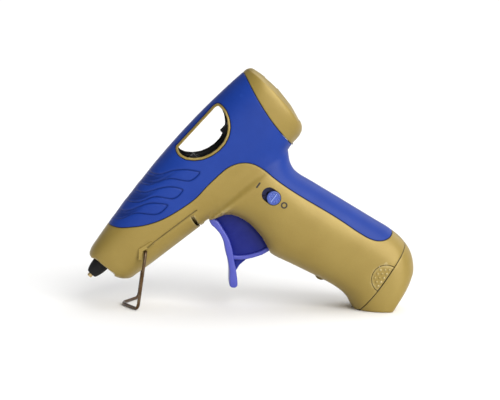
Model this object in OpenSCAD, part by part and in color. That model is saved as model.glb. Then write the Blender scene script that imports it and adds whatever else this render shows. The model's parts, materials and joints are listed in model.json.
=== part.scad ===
// Cordless hot-melt glue gun for 7 mm sticks, standing on its wire stand and the foot of its grip.
// Frame: +X from the nozzle towards the grip, +Y towards the right side, +Z up, ground at z = 0.

/* [Body] */
// Half width of the barrel at its widest
barrel_half_w = 21; // [20.8:0.1:21.4]
// Half width of the grip
grip_half_w = 19.4; // [19.2:0.1:19.8]
// Roundness of the body's section (2 is an ellipse)
section_power = 2.6; // [2.4:0.1:2.8]
// Wall thickness of the housing shells
wall = 2.4; // [2.2:0.1:2.6]
// Thickness of the soft overlay let into the housing
overlay_t = 1.3; // [1.1:0.1:1.4]
// Width of the gold rim around the window
rim_w = 1.7; // [1.5:0.1:2]

/* [Glue path] */
// Angle of the glue path above horizontal
feed_angle = 47.8; // [47.6:0.1:48]
// Diameter of the stick inlet
inlet_d = 7.8; // [7.6:0.1:8]
// Diameter of the nozzle's hole
nozzle_hole_d = 1.6; // [1.2:0.1:2]
// Outer diameter of the melt chamber
chamber_d = 15; // [14:0.5:15.5]

/* [Trigger] */
// Diameter of the trigger pin
trigger_pin_d = 4; // [3.5:0.5:4.5]
// Width of the finger flange
flange_w = 18; // [16:0.5:18.5]
// Width of the trigger's web
web_w = 10; // [9:0.5:10.5]

/* [Stand] */
// Diameter of the stand's wire
wire_d = 1.9; // [1.7:0.1:2]
// Distance from the middle plane to each arm of the stand
arm_y = 20; // [20:0.1:20.1]

/* [Switch] */
// Diameter of the switch button
button_d = 8.2; // [8:0.1:8.4]
// Travel of the switch button
switch_travel = 3.2; // [3:0.1:3.4]

/* [Batteries] */
// Diameter of one cell
cell_d = 14.2; // [14:0.1:14.4]
// Length of one cell
cell_l = 50.5; // [50:0.5:50.5]

/* [Hidden] */
$fn = 48;
gap = 0.3;
run_clear = 0.05;
big = 60;

// Edge points of the barrel from nozzle to inlet: upper x, z, lower x, z, share of the half width
barrel_rows = [
    [-95.6, 29.2, -82.0, 18.2, 0.52],
    [-97.0, 31.2, -77.5, 16.7, 0.64],
    [-95.8, 34.8, -72.4, 16.9, 0.72],
    [-92.6, 39.8, -67.4, 20.3, 0.79],
    [-85.2, 50.7, -58.6, 27.0, 0.87],
    [-77.0, 62.4, -48.5, 35.0, 0.92],
    [-68.4, 73.9, -38.0, 43.3, 0.96],
    [-59.6, 85.2, -27.3, 51.8, 0.985],
    [-50.5, 96.3, -16.0, 60.5, 1],
    [-41.1, 107.1, -4.5, 70.0, 1],
    [-31.4, 117.6, 7.0, 80.0, 1],
    [-21.4, 127.7, 16.5, 90.0, 1],
    [-11.1, 137.5, 22.6, 98.8, 0.985],
    [-3.8, 143.4, 27.2, 104.4, 0.965],
    [1.3, 141.8, 28.4, 109.2, 0.91],
    [8.6, 136.5, 26.3, 114.4, 0.72],
    [13.8, 131.7, 21.9, 121.9, 0.42]
];
// Edge points of the grip from the barrel to its foot: rear x, z, front x, z, share of the half width
grip_rows = [
    [14.5, 103.0, -34.9, 65.5, 0.8],
    [17.8, 99.6, -31.0, 61.0, 0.94],
    [20.2, 95.8, -27.0, 56.5, 0.98],
    [20.9, 92.4, -26.5, 52.2, 1.04],
    [21.9, 88.0, -17.5, 55.6, 1.045],
    [24.3, 83.8, -10.7, 55.0, 1.045],
    [27.9, 80.7, -3.6, 51.1, 1.04],
    [32.1, 78.3, 1.8, 46.0, 1.03],
    [36.8, 75.7, 6.2, 40.3, 1.02],
    [42.5, 72.4, 11.4, 32.9, 1.01],
    [52.0, 66.9, 24.0, 26.7, 1],
    [63.0, 60.5, 37.1, 20.5, 0.99],
    [74.0, 54.1, 47.6, 15.2, 0.985],
    [82.8, 49.0, 54.3, 10.8, 0.985],
    [90.5, 43.0, 58.0, 7.2, 0.985],
    [96.1, 35.0, 60.6, 2.8, 0.985],
    [98.1, 25.4, 63.5, -1.5, 0.98],
    [96.3, 17.7, 67.5, -5.0, 0.97],
    [92.9, 11.1, 72.0, -7.5, 0.94],
    [88.4, 4.6, 76.5, -8.5, 0.88],
    [84.0, -2.2, 80.5, -7.5, 0.8]
];
// Seam between housing and rear cap
cap_seam = [
    [-9.6, 146.5], [-7.7, 141.8], [-2.2, 130.9], [2.5, 122.9], [8.6, 114], [14.4, 107], [20.2, 100.9], [25, 96.8]
];
// Lower edge of the soft overlay from the nozzle end to the grip
overlay_edge = [
    [-97, 51], [-85.9, 49.7], [-79.9, 48.9], [-73.8, 49.3], [-64.4, 50.8], [-55, 54], [-45.1, 59.6],
    [-35.1, 66.9], [-27.6, 75.1], [-19.8, 82.7], [-15.2, 86.2], [-10, 88.2], [-4.8, 88.6], [0.5, 87.3],
    [6.3, 83.9], [11.7, 79.6], [19.7, 74.1], [30.5, 67.5], [44.8, 59.4], [52.8, 54.5], [62, 48.5],
    [69.6, 44.4], [75.8, 43.2], [81.8, 45.0], [86.6, 50.8]
];
// Seam between grip and battery cover
cover_seam = [
    [97, 50], [93.9, 44.5], [91.8, 39.8], [88.5, 33.9], [84.1, 27.3], [79.3, 19.9], [74.5, 12.9],
    [66, 1.6], [62.4, -3.5]
];
// Window: straight front edge, then the round rear edge
window_edge = [
    [-46.9, 97.4], [-24.9, 122.0], [-22.7, 123.2], [-20.3, 122.4], [-17.6, 119.3], [-15.6, 114.6],
    [-14.9, 109.4], [-15.7, 104.2], [-18.0, 99.4], [-21.6, 95.4], [-26.0, 92.3], [-31.0, 90.2],
    [-36.2, 89.5], [-41.2, 90.0], [-45.0, 91.9], [-47.0, 94.9]
];

// Glue path: the tip of the nozzle, and stations along the path from it
tip_at = [-97.2, 17.1];
boot_small_s = 2.1;
boot_large_s = 10;
boot_end_s = 15;
chamber_s = 17;
chamber_end_s = 56;
guide_s = 120;
guide_end_s = 149;
guide_collar = 5.8;
guide_d = 11;
boot_d = 10.2;
boot_flange_d = 13.6;
spigot_d = 10.4;
heater_x = 8.6;
heater_t = 2.6;
clamp_t = 0.5;
rib_stations = [22, 49, 124, 141];
rib_t = 1.6;
rail_s = 74;
rail_xs = [0.4, 6.9];
rail_t = 2.4;
rail_y = 9.3;

// Trigger pivot, its place along the glue path, and its distance from it
pivot_at = [-7.4, 62];
path_dir = [cos(feed_angle), sin(feed_angle)];
pivot_s = (pivot_at - tip_at) * path_dir;
pivot_r = (pivot_at - tip_at) * [path_dir.y, -path_dir.x];
trunnion_s = 94.5;
trunnion_d = 3;
lever_y = [6, 8.6];
lever_w = 6.4;
hub_d = 13;
hub_y = 8.8;
pin_y = 15;
trunnion_at = tip_at + trunnion_s * path_dir;
lever_angle = atan2(trunnion_at.y - pivot_at.y, trunnion_at.x - pivot_at.x);
lever_l = norm(trunnion_at - pivot_at);
gripper_x = 6.4;
gripper_z = -5.3;
gripper_pin_d = 1.6;
carriage_z = -8;
spring_x = 14;
spring_post_s = 115;
spring_post_d = 3.6;
spring_post_at = tip_at + spring_post_s * path_dir + (spring_x + 0.5) * [path_dir.y, -path_dir.x];

// Trigger in side view: finger flange, then the web from its lower edge round the hub
flange_outline = [
    [-25.9, 53.4], [-24.6, 50.2], [-22.3, 48.2], [-19.2, 44.4], [-17.0, 39.4], [-15.9, 33.9], [-14.3, 28.4],
    [-13.5, 23.1], [-13.4, 18.0], [-13.2, 14.2], [-12.3, 12.8], [-10.8, 12.4], [-9.1, 12.8], [-8.3, 14.8],
    [-9.2, 22.0],
    [-10.5, 28.2], [-11.8, 35.2], [-13.9, 41.6], [-17.6, 47.8], [-21.6, 53.2]
];
web_outline = [
    [-21.6, 53.2], [-17.6, 47.8], [-13.9, 41.6], [-11.8, 35.2], [-10.4, 28.2], [-9.5, 21.6], [-7.0, 25.7],
    [-3.4, 28.8], [1.6, 30.6], [6.2, 31.7], [11.0, 34.6], [12.2, 39.5], [7.5, 48.5], [-1.2, 58.4], [-12, 66],
    [-19.5, 61]
];

// Arch of the housing over the trigger, closed below it
arch = [
    [-29, 40], [-29, 53.9], [-27.1, 55.3], [-23.4, 57], [-18.3, 58.1], [-13.3, 57.8], [-8.2, 55.9], [-3, 52.6],
    [2.2, 47.5], [5.6, 43.5], [9.2, 37.3], [12, 31.5], [6, 26]
];

// Stand: pivot, foot and the tip of its V
stand_at = [-63.4, 34.9];
foot_at = [-67.6, wire_d * 0.54];
foot_tip_at = [-76.3, wire_d * 0.54];
bend_d = wire_d * 1.08;
stand_fold = 135;
slit_w = wire_d + 0.6;
slit_depth = 1.5;
slit_floor_t = 1;
stub_y = 15.4;
boss_y = 18.9;
boss_root_y = 14;
recess_y = 18.3;
recess_angle = 38.2;
hook_outline = [[-67.6, 30.2], [-67.4, 36.6], [-60.2, 41.2], [-58.9, 39.3], [-65.2, 35.4], [-65.3, 30.2]];

// Place of a point of the stand in side view once it is folded
function folded(p) = let (c = cos(stand_fold), s = sin(stand_fold), d = p - stand_at)
    stand_at + [c * d.x - s * d.y, s * d.x + c * d.y];

// Switch slot: middle and direction towards ON
switch_at = [9.9, 69.2];
switch_dir = 144.6;
slot_w = button_d + 0.6;
switch_face_y = -21.2;
switch_floor_y = -17.3;

// Grip axis, the middle of the cells, and the release buttons
grip_angle = 31;
cells_at = [52.8, 38];
cell_pitch = 14.6;
pad_seam_a = [84.3, 27.6];
pad_seam_b = [74.6, 13.1];

// Housing screws: x, z
screws_at = [[-52, 42], [-63.5, 72], [-12.5, 127], [10, 95], [29, 68], [42.7, 21]];
pad_floor_y = 16.5;
tongue_y = 14.7;
cover_floor_z = 33.4;
plate_t = 0.5;
tray_t = 0.7;
tray_end_t = 1.4;
screw_d = 3;
screw_head_d = 5.6;
screw_head_y = 9.5;
screw_end_y = -9;
socket_d = 1.6;

// Lead wires: from the switch to the heater, and from the cells to the heater
switch_lead = [
    [6, -9.8, 67], [2.5, -10, 70.5], [-4, -10, 76.5], [-12, -10.6, 79.5], [-21, -12, 76.5], [-30, -13.5, 69],
    [-39, -13, 62.5], [-47, -12.5, 57.5], [-54, -11.5, 52.5], [-58.5, -9.5, 47.5], [-61.6, -6.5, 42.8]
];
return_lead = [
    [27, 6, 53.2], [22, 9, 57.5], [14, 12, 62], [7, 11, 69], [0, 10, 75], [-9, 10.2, 79.5], [-19, 12, 77.5],
    [-29, 13.5, 70], [-38, 13, 63.5], [-46, 12.5, 58], [-53.5, 11.5, 53], [-58.5, 9.5, 47.5], [-61.6, 6.5, 42.8]
];

// ---- Curves and lofts ----

function spow(v) = sign(v) * pow(abs(v), 2 / section_power);

// Catmull-Rom blend of four rows
function blend4(a, b, c, d, t) =
    0.5 * (2 * b + (c - a) * t + (2 * a - 5 * b + 4 * c - d) * t * t + (3 * b - a - 3 * c + d) * t * t * t);

function smooth_rows(rows, steps) = let (n = len(rows) - 1) [
    for (i = [0:n - 1], k = [0:steps - 1])
        blend4(rows[max(i - 1, 0)], rows[i], rows[i + 1], rows[min(i + 2, n)], k / steps),
    rows[n]
];

// One row moved inwards by d, with its width share turned into millimetres
function inset_row(r, half_w, d) = let (
    a = [r[0], r[1]],
    b = [r[2], r[3]],
    u = (b - a) / norm(b - a),
    a2 = a + u * d,
    b2 = b - u * d
) [a2.x, a2.y, b2.x, b2.y, r[4] * half_w - d];

function ring(r, sides) = let (
    mid = [r[0] + r[2], r[1] + r[3]] / 2,
    half = [r[0] - r[2], r[1] - r[3]] / 2
) [
    for (i = [0:sides - 1]) let (a = 360 * i / sides)
        [mid.x + half.x * spow(cos(a)), r[4] * spow(sin(a)), mid.y + half.y * spow(cos(a))]
];

// Closed solid through a list of rings with the same number of points
module skin(rings) {
    sides = len(rings[0]);
    last = len(rings) - 1;
    polyhedron(
        points = [for (r = rings) each r],
        faces = concat(
            [[for (i = [sides - 1:-1:0]) i]],
            [for (j = [0:last - 1], i = [0:sides - 1])
                [j * sides + i, j * sides + (i + 1) % sides, (j + 1) * sides + (i + 1) % sides]],
            [for (j = [0:last - 1], i = [0:sides - 1])
                [j * sides + i, (j + 1) * sides + (i + 1) % sides, (j + 1) * sides + i]],
            [[for (i = [0:sides - 1]) last * sides + i]]
        )
    );
}

module loft(rows, half_w, d, steps, sides) {
    skin([for (r = smooth_rows([for (r = rows) inset_row(r, half_w, d)], steps)) ring(r, sides)]);
}

// Wire of diameter d along a list of points, as rings square to the path
module swept_wire(path, d, sides) {
    last = len(path) - 1;
    skin([
        for (i = [0:last]) let (
            t = path[min(i + 1, last)] - path[max(i - 1, 0)],
            w = t / norm(t),
            side = cross(w, [0.13, 0.21, 0.97]),
            u = side / norm(side),
            v = cross(w, u)
        ) [for (k = [0:sides - 1]) let (a = -360 * k / sides) path[i] + d / 2 * (u * cos(a) + v * sin(a))]
    ]);
}

// ---- Body shapes ----

module body(d, steps, sides) {
    intersection() {
        union() {
            loft([for (i = d > 0 ? [2:14] : [0:16]) barrel_rows[i]], barrel_half_w, d, steps, sides);
            loft(grip_rows, grip_half_w, d, steps, sides);
        }
        translate([-150, -big, d > overlay_t ? d : 0]) cube([300, 2 * big, 200]);
    }
}

module side_prism(points, y0, y1) {
    translate([0, y1, 0]) rotate([90, 0, 0]) linear_extrude(y1 - y0) polygon(points);
}

module cap_zone() {
    side_prism(concat(cap_seam, [[60, 96.8], [60, 170], [-9.6, 170]]), -big, big);
}

module overlay_zone() {
    difference() {
        side_prism(concat(overlay_edge, [[100, 60], [60, 170], [-60, 170], [-110, 60]]), -big, big);
        side_prism(window_edge, -big - 1, big + 1);
    }
}

module cover_zone() {
    side_prism(concat(cover_seam, [[130, -3.5], [130, 52]]), -big, big);
}

module window_hole() {
    translate([0, big, 0]) rotate([90, 0, 0]) linear_extrude(2 * big) offset(delta = -rim_w) polygon(window_edge);
}

// Half space on one side of the middle plane: side is -1 for left, 1 for right
module half(side) {
    translate([-150, side < 0 ? -big : 0, -20]) cube([300, big, 200]);
}

// Places children on the glue path at station s, with +Z along it and +X towards the grip
module on_path(s) {
    translate([tip_at.x, 0, tip_at.y]) rotate([0, 90 - feed_angle, 0]) translate([0, 0, s]) children();
}

// Places children at the middle of the cells, with +Z along the grip towards its foot
module on_grip() {
    translate([cells_at.x, 0, cells_at.y]) rotate([0, 90 + grip_angle, 0]) children();
}

// Cylinder along Y between two stations
module y_rod(at, d, y0, y1) {
    translate([at.x, y0, at.y]) rotate([-90, 0, 0]) cylinder(d = d, h = y1 - y0);
}

// Half-round pad with its straight side along the cover's seam
module pad_shape(grow, back) {
    mid = (pad_seam_a + pad_seam_b) / 2;
    along = pad_seam_a - pad_seam_b;
    translate(mid) rotate(atan2(along.y, along.x)) intersection() {
        circle(d = norm(along) + 2 * grow);
        translate([-big, -back]) square([2 * big, big]);
    }
}

// ---- Housing ----

// Gap in the housing through which the trigger swings
module trigger_gap() {
    side_prism([
        [-27, 44], [-24.5, 58], [-14, 75], [2, 72], [14, 58], [22, 47], [22, 36], [12, 28], [-10, 28]
    ], -web_w / 2 - 0.7, web_w / 2 + 0.7);
    side_prism(arch, -flange_w / 2 - 0.5, flange_w / 2 + 0.5);
}

// Slit on one side for a leg of the folded stand's V, along the way the leg moves in
module foot_slit(side) {
    along_slit(side, -2, 0) translate([0, -slit_depth, -slit_w / 2]) cube([1, slit_depth + 15, slit_w]);
}

// Floor of that slit, which closes it off from the housing's inside
module slit_floor(side) {
    along_slit(side, 1, 0.6) translate([0, -slit_depth - slit_floor_t, -slit_w / 2 - slit_floor_t])
        cube([1, slit_floor_t, slit_w + 2 * slit_floor_t]);
}

// Stretches children from x = 0 to 1 along the folded leg, from start after its tip to end past its corner
module along_slit(side, start, end) {
    apex = folded(foot_tip_at);
    corner = folded(foot_at);
    from = [apex.x, 0, apex.y];
    leg = [corner.x, side * arm_y, corner.y] - from;
    u = leg / norm(leg);
    way = [apex.y - stand_at.y, 0, stand_at.x - apex.x];
    v = (way - (way * u) * u) / norm(way - (way * u) * u);
    w = cross(u, v);
    multmatrix([[u.x, v.x, w.x, from.x], [u.y, v.y, w.y, from.y], [u.z, v.z, w.z, from.z]])
        translate([start, 0, 0]) scale([norm(leg) + end - start, 1, 1]) children();
}

// Shallow recess on each side in which the folded arm lies
module arm_recess(side) {
    translate([stand_at.x, side * (recess_y + 5), stand_at.y]) rotate([0, -recess_angle, 0])
        translate([2.5, -5, -14]) cube([36, 10, 15.6]);
}

// Raised hook around the stand's pivot
module pivot_hook(side) {
    y0 = side < 0 ? -boss_y : boss_root_y;
    side_prism(hook_outline, y0, y0 + boss_y - boss_root_y);
}

// Ribs that cradle the glue path, rails for the carriage, bosses for screws and pins
module inner_ribs(side) {
    intersection() {
        union() {
            difference() {
                for (s = rib_stations) on_path(s) translate([-16, -big, 0]) cube([32, 2 * big, rib_t]);
                on_path(10) cylinder(d = chamber_d + 0.6, h = 60);
                on_path(guide_s) cylinder(d = guide_d + 0.6, h = 40);
                on_path(chamber_s + 9) translate([4, -12.5, 0]) cube([13, 25, 26]);
            }
            for (x = rail_xs)
                on_path(rail_s) translate([x, side < 0 ? -big : rail_y, 0]) cube([rail_t, big - rail_y, 25]);
            for (at = screws_at) y_rod(at, screw_head_d + 2.4, side < 0 ? -big : 0, side < 0 ? 0 : big);
            y_rod(pivot_at, trigger_pin_d + 4, side < 0 ? -big : hub_y + gap, side < 0 ? -hub_y - gap : big);
            y_rod(spring_post_at, spring_post_d, side < 0 ? -big : 0, side < 0 ? 0 : big);
            slit_floor(side);
        }
        body(wall - 0.2, 2, 28);
        half(side);
    }
}

// What is cut from a housing half for the cap, cover, window, trigger, folded stand and button
module housing_cuts(side) {
    cap_zone();
    cover_zone();
    window_hole();
    trigger_gap();
    foot_slit(side);
    y_rod(pivot_at, hub_d + 0.8, -hub_y - gap, hub_y + gap);
    arm_recess(side);
    translate([0, side * 20, 0]) rotate([90, 0, 0]) linear_extrude(12, center = true) pad_shape(gap, 3);
}

module housing_shell(side) {
    resize([0, 0, 0]) union() {
        difference() {
            intersection() {
                union() {
                    body(overlay_t, 2, 28);
                    difference() {
                        body(0, 2, 28);
                        overlay_zone();
                    }
                }
                half(side);
            }
            body(wall, 1, 28);
            housing_cuts(side);
        }
        difference() {
            inner_ribs(side);
            housing_cuts(side);
        }
        difference() {
            pivot_hook(side);
            body(wall, 1, 28);
        }
    }
}

// Round holes that the two halves share
module housing_bores(side) {
    on_path(0) cylinder(d = boot_d + 0.2, h = chamber_s);
    on_path(boot_end_s - 0.1) cylinder(d = boot_flange_d + 0.2, h = 6);
    y_rod(pivot_at, trigger_pin_d, -pin_y - 1, pin_y + 1);
    y_rod(stand_at, wire_d + 2 * run_clear, side < 0 ? -big : stub_y - 0.3, side < 0 ? 0.3 - stub_y : big);
}

module left_housing() {
    color("darkkhaki") difference() {
        housing_shell(-1);
        housing_bores(-1);
        for (at = screws_at) y_rod(at, screw_d, screw_end_y, 1);
        translate([0, -big, 0]) switch_slot(slot_w, switch_travel, big);
    }
}

module right_housing() {
    color("darkkhaki") difference() {
        housing_shell(1);
        housing_bores(1);
        for (at = screws_at) {
            y_rod(at, screw_d + 0.2, -1, screw_head_y + 1);
            y_rod(at, screw_head_d + 0.4, screw_head_y, big);
        }
    }
}

module overlay_shell(side) {
    resize([0, 0, 0]) difference() {
        intersection() {
            body(0, 2, 28);
            half(side);
            overlay_zone();
        }
        body(overlay_t, 2, 28);
        cap_zone();
    }
}

module left_overlay() {
    color("mediumblue") overlay_shell(-1);
}

module right_overlay() {
    color("mediumblue") difference() {
        overlay_shell(1);
        for (at = screws_at) y_rod(at, screw_head_d + 0.4, screw_head_y, big);
    }
}

module rear_cap() {
    color("darkkhaki") difference() {
        resize([0, 0, 0]) union() {
            difference() {
                intersection() {
                    body(0, 2, 28);
                    cap_zone();
                }
                body(wall, 1, 28);
            }
            intersection() {
                on_path(guide_end_s) cylinder(d = inlet_d + 5, h = 30);
                body(0, 2, 28);
                cap_zone();
            }
        }
        on_path(guide_end_s - 10) cylinder(d = inlet_d, h = 40);
    }
}

module housing_screws() {
    color("dimgray") for (at = screws_at) difference() {
        union() {
            y_rod(at, screw_d, screw_end_y, screw_head_y);
            y_rod(at, screw_head_d, screw_head_y, screw_head_y + 2.2);
        }
        y_rod(at, socket_d, screw_head_y + 1, screw_head_y + 3);
    }
}

// ---- Glue path ----

module nozzle() {
    color("goldenrod") on_path(0) rotate_extrude() polygon([
        [nozzle_hole_d / 2, 0], [1.3, 0], [1.5, 0.3], [1.5, boot_small_s], [3.3, 9], [3.3, chamber_s],
        [4, chamber_s], [4, 22.5], [2.4, 22.5], [nozzle_hole_d / 2, 17]
    ]);
}

module nozzle_boot() {
    color("black") on_path(0) rotate_extrude() polygon([
        [1.5, boot_small_s], [2.9, boot_small_s], [3.3, 2.5], [3.95, 4.2], [4.6, 6.6], [4.97, 9],
        [boot_d / 2, boot_large_s],
        [boot_d / 2, boot_end_s], [boot_flange_d / 2, boot_end_s], [boot_flange_d / 2, chamber_s],
        [3.3, chamber_s], [3.3, 9]
    ]);
}

module melt_chamber() {
    color("silver") on_path(0) difference() {
        union() {
            translate([0, 0, chamber_s]) cylinder(d = chamber_d, h = chamber_end_s - chamber_s);
            translate([0, 0, chamber_end_s]) cylinder(d = spigot_d, h = 5);
            translate([0, -5, 27]) cube([heater_x, 10, 24]);
        }
        translate([0, 0, chamber_s]) cylinder(d = 8, h = 5.5);
        translate([0, 0, 22.5]) cylinder(d1 = 4.8, d2 = inlet_d - 0.4, h = 20);
        translate([0, 0, 42.5]) cylinder(d = inlet_d - 0.4, h = 30);
    }
}

module heater_element() {
    color("white") on_path(28) translate([heater_x, -4.5, 0]) cube([heater_t, 9, 22]);
}

module heater_clamp() {
    color("lightslategray") on_path(34) difference() {
        translate([-8.1, -8.2, 0]) cube([heater_x + heater_t + 8.1 + clamp_t, 16.4, 9]);
        translate([-7.6, -7.6, -1]) cube([heater_x + heater_t + 7.6, 15.2, 11]);
    }
}

module thermal_cutout() {
    color("ivory") on_path(34.5) translate([heater_x + heater_t + clamp_t + 0.1, 0, 4]) rotate([0, 90, 0]) union() {
        cylinder(d = 7, h = 2.4);
        translate([-1.5, -5.5, 0]) cube([3, 11, 1]);
    }
}

module inlet_sleeve() {
    color("firebrick") on_path(0) rotate_extrude() polygon([
        [spigot_d / 2, chamber_end_s + 0.2], [7, chamber_end_s + 0.2], [7, 62], [5.6, 64.5], [5.6, 72], [6.1, 73],
        [3.8, 73], [3.7, 72], [3.7, chamber_end_s + 5], [spigot_d / 2, chamber_end_s + 5]
    ]);
}

module sleeve_clip() {
    color("gray") on_path(57.6) difference() {
        cylinder(d = 15.4, h = 3);
        translate([0, 0, -1]) cylinder(d = 14, h = 5);
        translate([-10, -0.8, -1]) cube([10, 1.6, 5]);
    }
}

module stick_guide() {
    color("black") on_path(guide_s) difference() {
        union() {
            cylinder(d = guide_d, h = guide_end_s - guide_s);
            translate([0, 0, guide_end_s - guide_s - guide_collar]) cylinder(d = guide_d + 3, h = 1.8);
        }
        translate([0, 0, -1]) cylinder(d = inlet_d + 0.4, h = 60);
    }
}

// ---- Feed ----

module feed_carriage() {
    color("dimgray") on_path(trunnion_s) difference() {
        union() {
            translate([-5.2, -5.4, carriage_z]) cube([13.4, 10.8, 10.2]);
            translate([3.2, -12, carriage_z]) cube([3.3, 24, 2.8]);
            translate([7, -1.4, -3.6]) cube([9.4, 2.8, 2.4]);
            translate([0, lever_y[1] + 0.3, 0]) rotate([90, 0, 0]) cylinder(d = trunnion_d, h = 2 * lever_y[1] + 0.6);
        }
        translate([0, 0, -10]) cylinder(d = inlet_d, h = 20);
        translate([3.5, -3.3, -7]) cube([20, 6.6, 6.6 - 3.2]);
    }
    color("dimgray") on_path(trunnion_s) gripper_pin(gripper_pin_d, 3.4);
}

module gripper_pin(d, half_l) {
    translate([gripper_x, half_l, gripper_z]) rotate([90, 0, 0]) cylinder(d = d, h = 2 * half_l);
}

module stick_gripper() {
    color("silver") on_path(trunnion_s) difference() {
        union() {
            translate([4.1, -3, gripper_z - 0.6]) cube([gripper_x - 4.1, 6, 1.2]);
            gripper_pin(gripper_pin_d + 1.2, 3);
        }
        gripper_pin(gripper_pin_d + 2 * run_clear, 4);
    }
}

module trigger_lever(side) {
    y0 = side < 0 ? -lever_y[1] : lever_y[0];
    translate([pivot_at.x, y0 + lever_y[1] - lever_y[0], pivot_at.y]) rotate([90, 0, 0])
        linear_extrude(lever_y[1] - lever_y[0]) rotate(lever_angle) difference() {
            union() {
                translate([0, -lever_w / 2]) square([lever_l, lever_w]);
                translate([lever_l, 0]) circle(d = lever_w + 0.6);
            }
            translate([lever_l - 1.2, -trunnion_d / 2 - gap]) square([2.6, trunnion_d + 2 * gap]);
            translate([lever_l - 1.2, 0]) circle(d = trunnion_d + 2 * gap);
            translate([lever_l + 1.4, 0]) circle(d = trunnion_d + 2 * gap);
        }
}

module trigger() {
    color("royalblue") difference() {
        union() {
            side_prism(flange_outline, -flange_w / 2, flange_w / 2);
            side_prism(web_outline, -web_w / 2, web_w / 2);
            y_rod(pivot_at, hub_d, -hub_y, hub_y);
            trigger_lever(-1);
            trigger_lever(1);
        }
        y_rod(pivot_at, trigger_pin_d + 2 * run_clear, -big, big);
    }
}

module trigger_pin() {
    color("silver") y_rod(pivot_at, trigger_pin_d, -pin_y, pin_y);
}

module return_spring() {
    turns = 9;
    steps = 10;
    coil_l = spring_post_s - trunnion_s - 1.5;
    color("gray") on_path(trunnion_s - 1) translate([spring_x, 0, 0]) swept_wire([
        for (i = [0:turns * steps]) let (a = 360 * i / steps)
            [2 * cos(a), 2 * sin(a), 0.5 + (coil_l - 1) * i / (turns * steps)]
    ], 0.7, 6);
}

// ---- Switch ----

module switch_slot(w, travel, h) {
    translate([switch_at.x, 0, switch_at.y]) rotate([-90, 0, 0]) rotate(-switch_dir) {
        for (x = [-travel / 2, travel / 2]) translate([x, 0]) cylinder(d = w, h = h);
        translate([-travel / 2, -w / 2]) cube([travel, w, h]);
    }
}

module switch_body() {
    color("navy") difference() {
        translate([0, switch_floor_y, 0]) union() {
            switch_slot(slot_w + 2.4, switch_travel, 1.6);
            translate([0, 1.6, 0]) switch_slot(7, switch_travel + 4, 5);
        }
        translate([0, switch_floor_y - 1, 0]) switch_slot(3.4, switch_travel, 4.6);
    }
}

module switch_slider() {
    color("royalblue") translate([-switch_travel / 2 * cos(switch_dir), 0, -switch_travel / 2 * sin(switch_dir)])
        translate([0, switch_face_y, 0]) {
            y_rod(switch_at, button_d, 0, switch_floor_y - gap - switch_face_y);
            y_rod(switch_at, 2.8, 0, switch_floor_y - switch_face_y + 2.8);
        }
}

// ---- Power ----

module round_square(half, r) {
    square([2 * half, 2 * (half - r)], center = true);
    square([2 * (half - r), 2 * half], center = true);
    for (x = [-1, 1], y = [-1, 1]) translate([x, y] * (half - r)) circle(r = r);
}

module battery_tray() {
    half_in = cell_pitch / 2 + cell_d / 2 + 0.15;
    corner_r = 6.3;
    color("darkslategray") on_grip() {
        translate([0, 0, -cell_l / 2 - 0.6]) linear_extrude(cell_l + 0.4) difference() {
            round_square(half_in + tray_t, corner_r + tray_t);
            round_square(half_in, corner_r);
        }
        translate([0, 0, -cell_l / 2 - 0.6 - tray_end_t]) linear_extrude(tray_end_t)
            round_square(half_in + tray_t, corner_r + tray_t);
    }
}

// Children at each of the four cells, every other one turned over if flip is set
module each_cell(flip) {
    for (x = [-1, 1], y = [-1, 1])
        translate([x, y, 0] * cell_pitch / 2) scale([1, 1, flip ? x * y : 1]) children();
}

module batteries() {
    color("slategray") on_grip() each_cell(true) translate([0, 0, -cell_l / 2]) {
        cylinder(d = cell_d, h = cell_l - 1.2);
        translate([0, 0, cell_l - 1.2]) cylinder(d = 5.4, h = 1.2);
    }
}

module upper_contacts() {
    color("silver") on_grip() for (y = [-1, 1])
        translate([-12, y * cell_pitch / 2 - 5, -cell_l / 2 - 0.6]) cube([24, 10, 0.6]);
}

module cover_contacts() {
    color("silver") on_grip() translate([-12, -12, cover_floor_z - plate_t]) cube([24, 24, plate_t]);
}

module contact_springs() {
    turns = 4;
    steps = 12;
    spring_l = cover_floor_z - plate_t - cell_l / 2 - 0.1;
    color("gray") on_grip() each_cell(false) translate([0, 0, cell_l / 2 + 0.1]) swept_wire([
        for (i = [0:turns * steps]) let (a = 360 * i / steps, t = i / (turns * steps))
            [(2 + 2.4 * t) * cos(a), (2 + 2.4 * t) * sin(a), 0.3 + (spring_l - 0.6) * t]
    ], 0.6, 5);
}

module battery_cover() {
    color("darkkhaki") resize([0, 0, 0]) union() {
        difference() {
            intersection() {
                body(0, 2, 28);
                translate([0.3, 0, -0.2]) cover_zone();
            }
            body(wall, 1, 28);
        }
        intersection() {
            on_grip() difference() {
                translate([-big, -big, cover_floor_z]) cube([2 * big, 2 * big, 1.6]);
                translate([13.4, -8, cover_floor_z - 1]) cube([3.4, 16, 4]);
            }
            body(wall - 0.2, 2, 28);
            translate([0.3, 0, -0.2]) cover_zone();
        }
        on_grip() for (side = [-1, 1])
            translate([-5, side < 0 ? -tongue_y : tongue_y - 1.4, 26.8]) cube([10, 1.4, cover_floor_z - 26.3]);
    }
}

module release_button(side) {
    resize([0, 0, 0]) intersection() {
        difference() {
            body(0, 2, 28);
            translate([-150, -pad_floor_y, -20]) cube([300, 2 * pad_floor_y, 200]);
        }
        half(side);
        translate([0, side * 20, 0]) rotate([90, 0, 0]) linear_extrude(20, center = true) pad_shape(0, -0.3);
    }
}

module left_release_button() {
    color("darkkhaki") release_button(-1);
}

module right_release_button() {
    color("darkkhaki") release_button(1);
}

module lead_wires() {
    color("crimson") swept_wire(switch_lead, 1.4, 8);
    color("black") swept_wire(return_lead, 1.4, 8);
}

// ---- Stand ----

module wire_between(a, b) {
    v = b - a;
    translate(a) rotate([0, acos(v.z / norm(v)), atan2(v.y, v.x)]) cylinder(d = wire_d, h = norm(v));
}

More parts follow.
